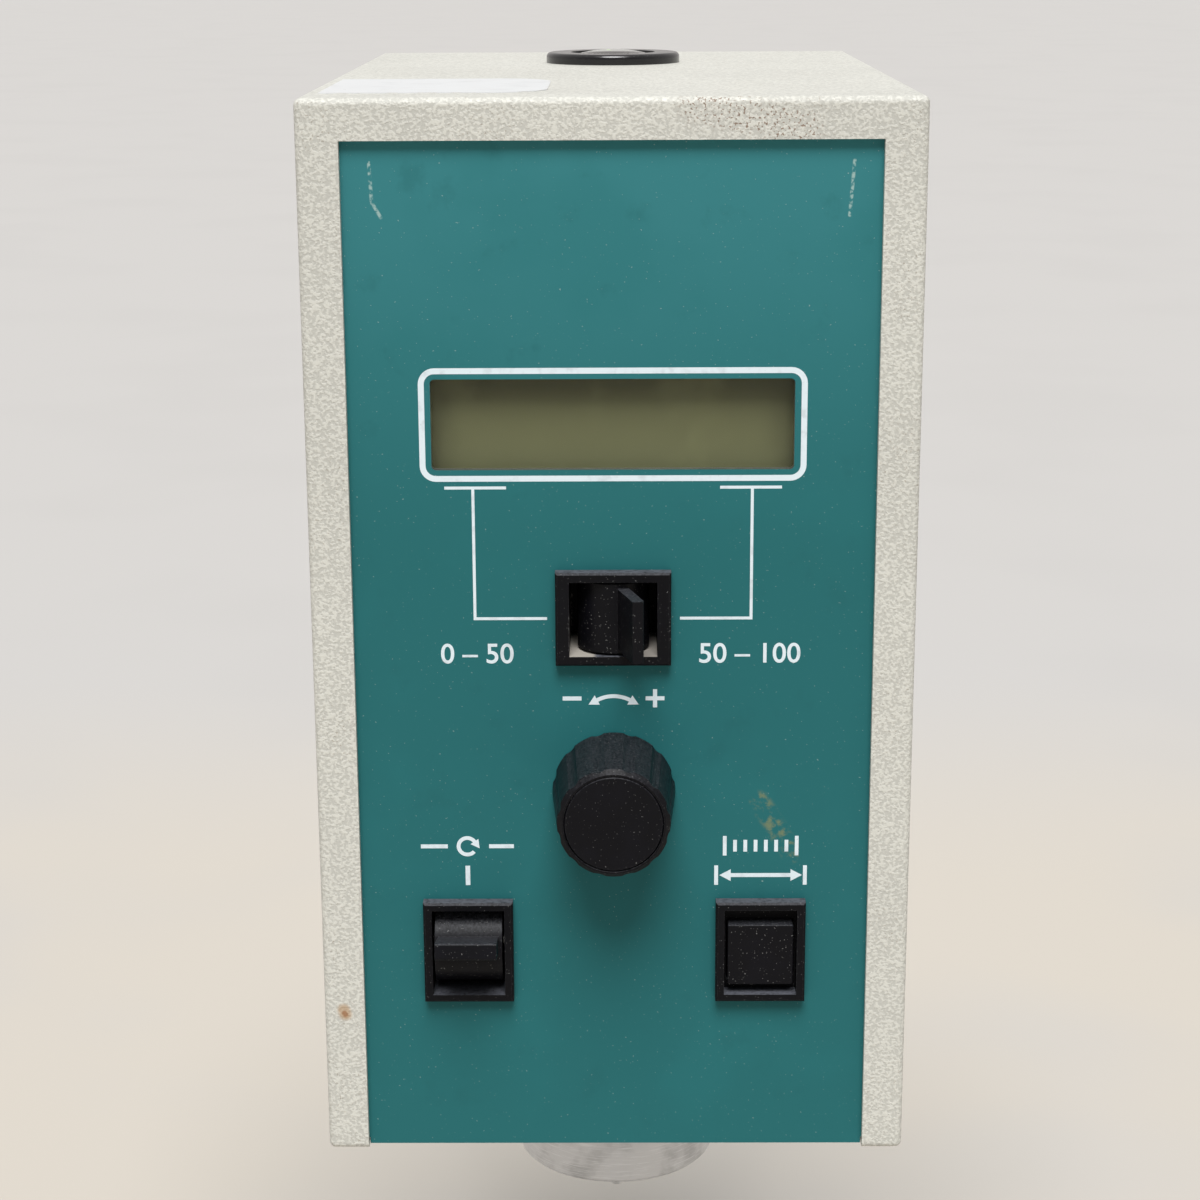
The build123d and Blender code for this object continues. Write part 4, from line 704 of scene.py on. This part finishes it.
def placed(template, finish, points, seed):
    """Copies of a template on points, its Z turned outwards and its spin left to chance."""
    tree = Repeat("placed_copies", Template=template, Seed=seed, Finish=finish)
    way = tree.add("GeometryNodeInputNamedAttribute", {"Name": "out"}, data_type="FLOAT_VECTOR")
    face = tree.add("FunctionNodeAlignRotationToVector", {"Vector": way.outputs[0]}, axis="Z")
    chance = tree.add("FunctionNodeRandomValue", {"Seed": tree.size("Seed")}, data_type="FLOAT")
    highest = [s for s in chance.inputs if s.name == "Max" and s.type == "VALUE"][0]
    highest.default_value = 2 * math.pi
    value = [s for s in chance.outputs if s.type == "VALUE"][0]
    about = tree.add("ShaderNodeCombineXYZ", {"Z": value})
    spin = tree.add("FunctionNodeEulerToRotation", {"Euler": about.outputs[0]})
    both = tree.add("FunctionNodeRotateRotation", {"Rotation": face.outputs[0], "Rotate By": spin.outputs[0]},
                    rotation_space="LOCAL")
    shape = tree.add("GeometryNodeObjectInfo", {"Object": tree.size("Template")})
    copies = tree.add("GeometryNodeInstanceOnPoints", {
        "Points": tree.start.outputs[0], "Instance": shape.outputs["Geometry"], "Rotation": both.outputs[0]})
    return tree.build(copies.outputs[0], points)


def screw_template(head, height, shank, length, recess):
    """A domed screw with a cross recess; its head starts at the origin and its shank goes down."""
    pitch = 0.5
    core = shank * 0.82
    edge = height * 0.38
    profile = [(0, -length), (shank * 0.55, -length), (shank * 0.8, -length + 0.45)]
    for k in range(int((length - 0.8) / pitch)):
        z = -length + 0.5 + k * pitch
        profile += [(core, z), (shank, z + pitch * 0.5)]
    profile += [(core, -0.25), (core, 0), (head - 0.12, 0), (head, 0.14), (head, edge)]
    for angle in range(12, 90, 13):
        turn = math.radians(angle)
        profile.append((head * math.cos(turn) ** 0.75, height * (0.38 + 0.62 * math.sin(turn))))
    profile.append((0, height))
    verts, faces = turned(profile, 32)
    body = place_object("screw", mesh_of([Vector(v) * MM for v in verts], faces))
    slots = []
    corners = ((1, 1), (-1, 1), (-1, -1), (1, -1))
    sides = [(0, 1, 2, 3), (7, 6, 5, 4), (0, 4, 5, 1), (1, 5, 6, 2), (2, 6, 7, 3), (3, 7, 4, 0)]
    top = height + 0.3
    low = height * 0.42
    for wide, deep in ((recess, recess * 0.24), (recess * 0.24, recess)):
        box = [(x * wide, y * deep, top) for x, y in corners]
        box += [(x * wide * 0.45, y * deep * 0.7, low) for x, y in corners]
        slots.append(place_object("slot", mesh_of([Vector(v) * MM for v in box], sides)))
    for cutter in slots:
        cut = body.modifiers.new("cut", "BOOLEAN")
        cut.operation = "DIFFERENCE"
        cut.solver = "EXACT"
        cut.object = cutter
    shape = final_mesh(body)
    for thing in [body] + slots:
        bpy.data.objects.remove(thing)
    return place_object("screw_template", shape)


# ---------------------------------------------------------------- sizes and colours


def shade(name, description, colour):
    """A screen colour from 0 to 255."""
    return bpy.props.FloatVectorProperty(name=name, description=description, subtype="COLOR_GAMMA", size=3,
                                         min=0.0, max=1.0, default=[c / 255 for c in colour])


def amount(name, description, value):
    """A strength without a unit."""
    return bpy.props.FloatProperty(name=name, description=description, default=value, min=0.0)


def angle(name, description, degrees):
    """An angle, given in degrees."""
    return bpy.props.FloatProperty(name=name, description=description, default=math.radians(degrees),
                                   subtype="ANGLE", unit="ROTATION")


def length(name, description, millimetres):
    """A length, given in millimetres."""
    return bpy.props.FloatProperty(name=name, description=description, default=millimetres * MM,
                                   min=0.0, subtype="DISTANCE", unit="LENGTH", precision=5)


class VISCOMETER_PG_colours(bpy.types.PropertyGroup):
    """Colours of the paint, the print, the plastic and the floor"""
    cover: shade("Cover paint", "Wrinkle paint of the folded cover", (202, 201, 193))
    # The two film colours differ by painted light: lighter at the top, darker below.
    film_lit_high: shade("Film, upper", "Printed film at its upper edge", (53, 120, 125))
    film_shaded_low: shade("Film, lower", "Printed film at its lower edge", (37, 101, 104))
    ink: shade("Ink", "Pale print on the film", (214, 226, 232))
    display: shade("Display", "Unlit display cell", (119, 121, 87))
    plastic: shade("Plastic", "Black moulded switches and knob", (9, 9, 13))
    label: shade("Label", "Blank label on the top", (210, 212, 213))
    floor_near: shade("Floor, near", "Floor colour under the head", (190, 183, 173))
    floor_far: shade("Floor, far", "Floor colour further back", (184, 181, 178))


class VISCOMETER_PG_sizes(bpy.types.PropertyGroup):
    """Sizes of the print, the label, the screws and the thread"""
    ink_thickness: length("Ink thickness", "How proud the print stands", 0.05)
    frame_line: length("Frame line", "Line width of the printed display frame", 1.1)
    lead_line: length("Lead line", "Line width of the printed leads", 0.55)
    label_thickness: length("Label thickness", "Thickness of the label on the top", 0.15)
    screw_head: length("Screw head", "Radius of the cover screws' heads", 2.8)
    screw_height: length("Screw head height", "Height of the cover screws' heads", 1.8)
    screw_recess: length("Screw recess", "Half width of the cross recess", 1.45)
    thread_pitch: length("Thread pitch", "Pitch of the spindle thread", 0.5)
    seed: bpy.props.IntProperty(name="Seed", description="Chance turn of the screws", default=7, min=0)


class VISCOMETER_PG_studio(bpy.types.PropertyGroup):
    """Floor, lights and backdrop"""
    floor_drop: length("Floor height", "How far the floor lies below the rod", 250.0)
    key: amount("Key light", "Strength of the overhead light", 3.6)
    key_size: angle("Key size", "Apparent size of the overhead light", 30)
    key_height: angle("Key height", "Height of the overhead light", 58)
    sky: amount("Room light, above", "Strength of the soft light from above", 0.72)
    sky_low: amount("Room light, level", "Strength of the soft light all round", 0.08)
    backdrop: amount("Backdrop", "Brightness of the backdrop as seen", 0.72)


class Step(bpy.types.Operator):
    """Shared by the operators below"""
    bl_options = {"REGISTER"}
    nodes = ()

    def execute(self, context):
        scene = context.scene
        self.make(scene.viscometer_colours, scene.viscometer_sizes, scene.viscometer_studio)
        return {"FINISHED"}

    def make(self, colours, sizes, studio):
        paint(self.nodes)


class VISCOMETER_OT_sheet_metal(Step):
    """Paint the cover and rear panel and finish the tray and brackets"""
    bl_idname = "viscometer.sheet_metal"
    bl_label = "Sheet Metal"
    nodes = ("cover", "rear_panel", "chassis_tray", "rear_brackets")

    def make(self, colours, sizes, studio):
        PAINTED.update(finishes(colours))
        paint(self.nodes)


class VISCOMETER_OT_front_panel(Step):
    """Finish the front plate and its printed film"""
    bl_idname = "viscometer.front_panel"
    bl_label = "Front Panel"
    nodes = ("front_plate", "panel_film")


class VISCOMETER_OT_printing(Step):
    """Print the display frame, the lead lines and the plain marks on the film"""
    bl_idname = "viscometer.printing"
    bl_label = "Printing"

    def make(self, colours, sizes, studio):
        # Drawn in millimetres, with heights counted from the bottom of the head
        place = Matrix.Translation((0, 0, HEAD_BOTTOM)) @ facing_front(FILM_FRONT + PRINT_LIFT)
        thick = sizes.ink_thickness / MM
        ink = ink_print("film_ink", colours.ink).material
        line = sizes.frame_line / MM
        left, right, low, high = -35.9, 36.0, 135.6, 156.95
        border = Ink(place, thick)
        border.ring(rounded(left, right, low, high, 3.0),
                    rounded(left + line, right - line, low + line, high - line, 1.9))
        keep("display_border", border.mesh(), "housing", ink)

        leads = Ink(place, thick)
        half = sizes.lead_line / MM / 2
        upper, lower = 134.4, 109.15
        for side, inner, outer, drop, end in ((-1, -19.9, -31.4, -26.1, -12.5), (1, 20.0, 31.5, 26.0, 12.6)):
            leads.bar(min(inner, outer), max(inner, outer), upper - half, upper + half)
            leads.bar(drop - half, drop + half, lower - half, upper - half)
            near, far = sorted((drop - side * half, end))
            leads.bar(near, far, lower - half, lower + half)
        keep("lead_lines", leads.mesh(), "housing", ink)

        marks = Ink(place, thick)
        self.selector_marks(marks)
        self.motor_marks(marks)
        self.range_marks(marks)
        keep("panel_marks", marks.mesh(), "housing", ink)

    def selector_marks(self, marks):
        """Two ranges of numbers beside the selector, and minus, arc and plus under it."""
        marks.text("0 – 50", -25.8, 102.3, 4.0)
        marks.text("50 – 100", 25.8, 102.3, 4.0)
        marks.bar(-9.7, -6.1, 92.95, 93.75)
        marks.bar(6.1, 9.7, 92.95, 93.75)
        marks.bar(7.5, 8.3, 91.55, 92.95)
        marks.bar(7.5, 8.3, 93.75, 95.15)
        marks.sweep(0.0, 87.2, 6.6, 0.75, 62, 118)
        for side in (1, -1):
            marks.head(0.0, 87.2, 6.6, 90 - side * 28, -side, 1.9)

    def motor_marks(self, marks):
        """A turning arrow between two dashes, and a bar, over the motor switch."""
        marks.sweep(-28.4, 63.5, 1.7, 0.75, 35, 320)
        marks.head(-28.4, 63.5, 1.7, 35, -1, 1.7)
        marks.bar(-37.4, -32.2, 63.1, 63.9)
        marks.bar(-24.2, -19.4, 63.1, 63.9)
        marks.bar(-28.85, -27.95, 55.5, 59.5)

    def range_marks(self, marks):
        """A tick scale and a double arrow between stops, over the range button."""
        first, pitch, last = 21.4, 13.9 / 7, 7
        for k in range(last + 1):
            tall = 2.0 if k in (0, last) else 1.2
            x = first + k * pitch
            marks.bar(x - 0.36, x + 0.36, 63.5 - tall, 63.5 + tall)
        marks.bar(22.6, 34.2, 57.05, 57.85)
        marks.tip(20.4, 57.45, 180, 2.2)
        marks.tip(36.4, 57.45, 0, 2.2)
        for x in (19.4, 36.6):
            marks.bar(x, x + 0.75, 55.45, 59.45)


class VISCOMETER_OT_display(Step):
    """Finish the display: window, cell, frame, board and spacers"""
    bl_idname = "viscometer.display"
    bl_label = "Display"
    nodes = ("display_window", "display_glass", "display_frame", "display_board", "board_spacers",
             "board_screws")


class VISCOMETER_OT_switches(Step):
    """Finish the selector, the motor switch and the range button"""
    bl_idname = "viscometer.switches"
    bl_label = "Switches"
    nodes = ("selector_housing", "selector_paddle", "motor_switch_housing", "motor_paddle",
             "range_button_housing", "range_button", "button_spring", "switch_pins", "switch_terminals")


class VISCOMETER_OT_knob(Step):
    """Finish the knob, its cap and the encoder behind it"""
    bl_idname = "viscometer.knob"
    bl_label = "Knob"
    nodes = ("select_knob", "knob_cap", "encoder_body", "encoder_shaft", "encoder_washer", "encoder_nut")


class VISCOMETER_OT_level(Step):
    """Finish the spirit level: its ring, glass, liquid and nut"""
    bl_idname = "viscometer.level"
    bl_label = "Spirit Level"
    nodes = ("level_ring", "level_glass", "level_liquid", "level_nut")


class VISCOMETER_OT_label(Step):
    """Lay the blank label on the top"""
    bl_idname = "viscometer.label"
    bl_label = "Label"

    def make(self, colours, sizes, studio):
        sheet = Finish("label_sheet", colours.label, 0.22, specular=0.5)
        sheet.tint(lighter(colours.label, 0.93), sheet.step(sheet.noise(8, 3), 0.5, 0.75), 0.6)
        rubbed = sheet.times(sheet.edges(0.8), sheet.step(sheet.noise(3, 3), 0.45, 0.65))
        sheet.tint((196, 188, 170), rubbed, 0.5)
        sheet.polish(sheet.noise(3, 4), 0.2)
        sheet.bump(sheet.noise(0.75, 2), 0.03, 0.35)

        left, straight, bend = -54.0, -22.0, 10.0
        front = LIP_FRONT / MM + 13.0
        rear = front + 45.0
        outline = [(left, front), (straight, front)]
        outline += arc(straight, front + bend, bend, -80, 0, 8)
        outline += arc(straight, rear - bend, bend, 0, 90, 9)
        outline += [(left, rear)]
        label = Ink(facing_up(TOP - LABEL_SINK), sizes.label_thickness / MM)
        label.slab(outline)
        keep("top_label", label.mesh(), "housing", sheet.material)


class VISCOMETER_OT_screws(Step):
    """Put cross-recess screws in the cover and the rod block"""
    bl_idname = "viscometer.screws"
    bl_label = "Screws"

    def make(self, colours, sizes, studio):
        low, high = corner("cover"), corner("cover", high=True)
        cover_places = ((40, 8), (140, 8), (165, 192))
        block_reach = 14
        shank, under_head = 1.5, 6.0
        points = []
        for side, x in ((-1, low.x), (1, high.x)):
            for depth, height in cover_places:
                points.append(((x, low.y + depth * MM, low.z + height * MM), (side, 0, 0)))
        for x in (-block_reach, block_reach):
            for z in (-block_reach, block_reach):
                points.append(((x * MM, 0, z * MM), (0, 1, 0)))
        template = screw_template(sizes.screw_head / MM, sizes.screw_height / MM, shank, under_head,
                                  sizes.screw_recess / MM)
        shape = placed(template, PAINTED["screw_steel"], points, sizes.seed)
        bpy.data.objects.remove(template)
        screws = keep("cover_screws", shape, "housing", PAINTED["screw_steel"])
        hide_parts("housing_screws")


class VISCOMETER_OT_mounting(Step):
    """Finish the mounting rod and its block"""
    bl_idname = "viscometer.mounting"
    bl_label = "Mounting Rod"
    nodes = ("mounting_rod", "rod_block")


class VISCOMETER_OT_power(Step):
    """Finish the power inlet with its blades and the power switch with its rocker"""
    bl_idname = "viscometer.power"
    bl_label = "Power Inlet and Switch"
    nodes = ("power_inlet", "inlet_blades", "power_switch_housing", "power_rocker")


class VISCOMETER_OT_cup(Step):
    """Finish the pivot cup under the head"""
    bl_idname = "viscometer.cup"
    bl_label = "Pivot Cup"
    nodes = ("pivot_cup",)


class VISCOMETER_OT_coupling(Step):
    """Finish the pivot shaft and its coupling and cut the spindle thread"""
    bl_idname = "viscometer.coupling"
    bl_label = "Spindle Coupling"
    nodes = ("pivot_shaft", "coupling_nut", "jewel_bearing")

    def make(self, colours, sizes, studio):
        paint(self.nodes)
        axis = (corner("coupling_nut") + corner("coupling_nut", high=True)) * 0.5
        tip = corner("pivot_shaft").z
        free_end = corner("coupling_nut").z - tip
        height = free_end * 0.86
        finish = PAINTED["shaft_steel"]
        tree = Repeat("spindle_thread", Radius=1.25 * MM, Turns=height / sizes.thread_pitch, Height=height,
                      Ridge=sizes.thread_pitch * 0.34, Finish=finish)
        radius = tree.size("Radius")
        spiral = tree.add("GeometryNodeCurveSpiral", {
            "Resolution": 24, "Rotations": tree.size("Turns"), "Start Radius": radius, "End Radius": radius,
            "Height": tree.size("Height")})
        ridge = tree.size("Ridge")
        profile = tree.add("GeometryNodeCurvePrimitiveCircle", {"Resolution": 3, "Radius": ridge})
        solid = tree.add("GeometryNodeCurveToMesh", {
            "Curve": spiral.outputs[0], "Profile Curve": profile.outputs[0], "Fill Caps": True})
        shape = tree.build(solid.outputs[0])
        shape.transform(Matrix.Translation((axis.x, axis.y, tip + free_end * 0.09)))
        keep("spindle_thread", shape, "pivot", finish)


class VISCOMETER_OT_drive(Step):
    """Finish the torsion drive: plates, pillars, gears, motor and spring"""
    bl_idname = "viscometer.drive"
    bl_label = "Torsion Drive"
    nodes = ("lower_drive_plate", "upper_drive_plate", "drive_pillars", "drive_screws", "shaft_bushes",
             "drive_shaft", "drive_gear", "drive_pinion", "stepper_motor", "torsion_spring", "spring_hub")


class VISCOMETER_OT_transducer(Step):
    """Finish the angle transducer"""
    bl_idname = "viscometer.transducer"
    bl_label = "Angle Transducer"
    nodes = ("transducer_bridge", "transducer_coil", "transducer_rotor")


class VISCOMETER_OT_board(Step):
    """Finish the main board with its chips, connectors and transformer"""
    bl_idname = "viscometer.board"
    bl_label = "Main Board"
    nodes = ("main_board", "board_components", "transformer")


class VISCOMETER_OT_studio(Step):
    """Set the floor, the light and the camera"""
    bl_idname = "viscometer.studio"
    bl_label = "Studio"

    def make(self, colours, sizes, studio):
        scene = bpy.context.scene
        half = 30.0
        level = -studio.floor_drop
        corners = [(-half, -half, level), (half, -half, level), (half, half, level), (-half, half, level)]
        floor_mesh = mesh_of(corners, [(0, 1, 2, 3)])
        floor = place_object("floor", floor_mesh)
        cloth = Finish("floor_paper", colours.floor_near, 0.9, specular=0.1)
        cloth.tint(colours.floor_far, cloth.part("Y", 420, 820))
        cloth.tint(lighter(colours.floor_far, 0.985), cloth.step(cloth.noise(260, 2), 0.45, 0.7), 0.5)
        floor_mesh.materials.append(cloth.material)

        scene.world = self.room(studio)

        key = bpy.data.lights.new("overhead_light", "SUN")
        key.energy = studio.key
        key.angle = studio.key_size
        lamp = place_object("overhead_light", key)
        lamp.rotation_euler = (math.pi / 2 - studio.key_height, 0, 0)

        lens = bpy.data.cameras.new("camera")
        lens.sensor_width = CAMERA_SENSOR
        lens.lens = CAMERA_LENS
        lens.clip_start = 0.02
        lens.clip_end = 100.0
        camera = place_object("camera", lens)
        camera.location = [c * MM for c in CAMERA_PLACE]
        camera.rotation_euler = [math.radians(a) for a in CAMERA_TURN]
        scene.camera = camera
        scene.view_settings.view_transform = "Standard"

    def room(self, studio):
        """Soft light from above, and a pale backdrop where the camera or a reflection looks."""
        world = bpy.data.worlds.new("studio_room")
        world.use_nodes = True
        world.node_tree.nodes.clear()

        def add(kind, values=None, **settings):
            return add_node(world.node_tree, kind, values, **settings)

        rays = add("ShaderNodeLightPath").outputs
        way = add("ShaderNodeSeparateXYZ", {"Vector": add("ShaderNodeTexCoord").outputs["Generated"]})
        mirrored = add("ShaderNodeMath", {0: rays["Is Glossy Ray"], 1: rays["Is Transmission Ray"]},
                       operation="MAXIMUM").outputs[0]
        seen = add("ShaderNodeMath", {0: rays["Is Camera Ray"], 1: mirrored}, operation="MAXIMUM")
        overhead = add("ShaderNodeMapRange", {"Value": way.outputs["Z"], "From Min": 0.1, "From Max": 0.9,
                                              "To Min": studio.sky_low, "To Max": studio.sky},
                       interpolation_type="SMOOTHSTEP")
        above = add("ShaderNodeBackground", {"Color": (0.97, 0.99, 1.0, 1), "Strength": overhead.outputs[0]})
        behind = add("ShaderNodeMapRange", {"Value": way.outputs["Y"], "From Min": -0.95, "From Max": 0.1,
                                            "To Min": 0.42, "To Max": 1.0})
        dim = add("ShaderNodeMix", {"Factor": mirrored, "A": 1.0, "B": behind.outputs[0]})
        strength = add("ShaderNodeMath", {0: dim.outputs[0], 1: studio.backdrop}, operation="MULTIPLY")
        backdrop = add("ShaderNodeBackground", {"Color": (1.0, 0.955, 0.925, 1),
                                                "Strength": strength.outputs[0]})
        choice = add("ShaderNodeMixShader", {0: seen.outputs[0], 1: above.outputs[0], 2: backdrop.outputs[0]})
        add("ShaderNodeOutputWorld", {"Surface": choice.outputs[0]})
        return world


STEPS = (
    VISCOMETER_OT_sheet_metal, VISCOMETER_OT_front_panel, VISCOMETER_OT_printing, VISCOMETER_OT_display,
    VISCOMETER_OT_switches, VISCOMETER_OT_knob, VISCOMETER_OT_level, VISCOMETER_OT_label,
    VISCOMETER_OT_screws, VISCOMETER_OT_mounting, VISCOMETER_OT_power, VISCOMETER_OT_cup,
    VISCOMETER_OT_coupling, VISCOMETER_OT_drive, VISCOMETER_OT_transducer, VISCOMETER_OT_board,
    VISCOMETER_OT_studio,
)
GROUPS = {
    "viscometer_colours": VISCOMETER_PG_colours,
    "viscometer_sizes": VISCOMETER_PG_sizes,
    "viscometer_studio": VISCOMETER_PG_studio,
}


class VISCOMETER_PT_panel(bpy.types.Panel):
    """The steps, colours and sizes of the viscometer head"""
    bl_idname = "VISCOMETER_PT_panel"
    bl_label = "Viscometer Head"
    bl_space_type = "VIEW_3D"
    bl_region_type = "UI"
    bl_category = "Viscometer"

    def draw(self, context):
        steps = self.layout.column(align=True)
        for step in STEPS:
            steps.operator(step.bl_idname)
        for name, group in GROUPS.items():
            values = self.layout.column()
            for value in group.__annotations__:
                values.prop(getattr(context.scene, name), value)


def register():
    for kind in (*GROUPS.values(), *STEPS, VISCOMETER_PT_panel):
        bpy.utils.register_class(kind)
    for name, group in GROUPS.items():
        setattr(bpy.types.Scene, name, bpy.props.PointerProperty(type=group))


def unregister():
    for name in GROUPS:
        delattr(bpy.types.Scene, name)
    for kind in (VISCOMETER_PT_panel, *reversed(STEPS), *GROUPS.values()):
        bpy.utils.unregister_class(kind)


def main():
    register()
    for step in STEPS:
        section, name = step.bl_idname.split(".")
        getattr(getattr(bpy.ops, section), name)()


if __name__ == "__main__":
    main()
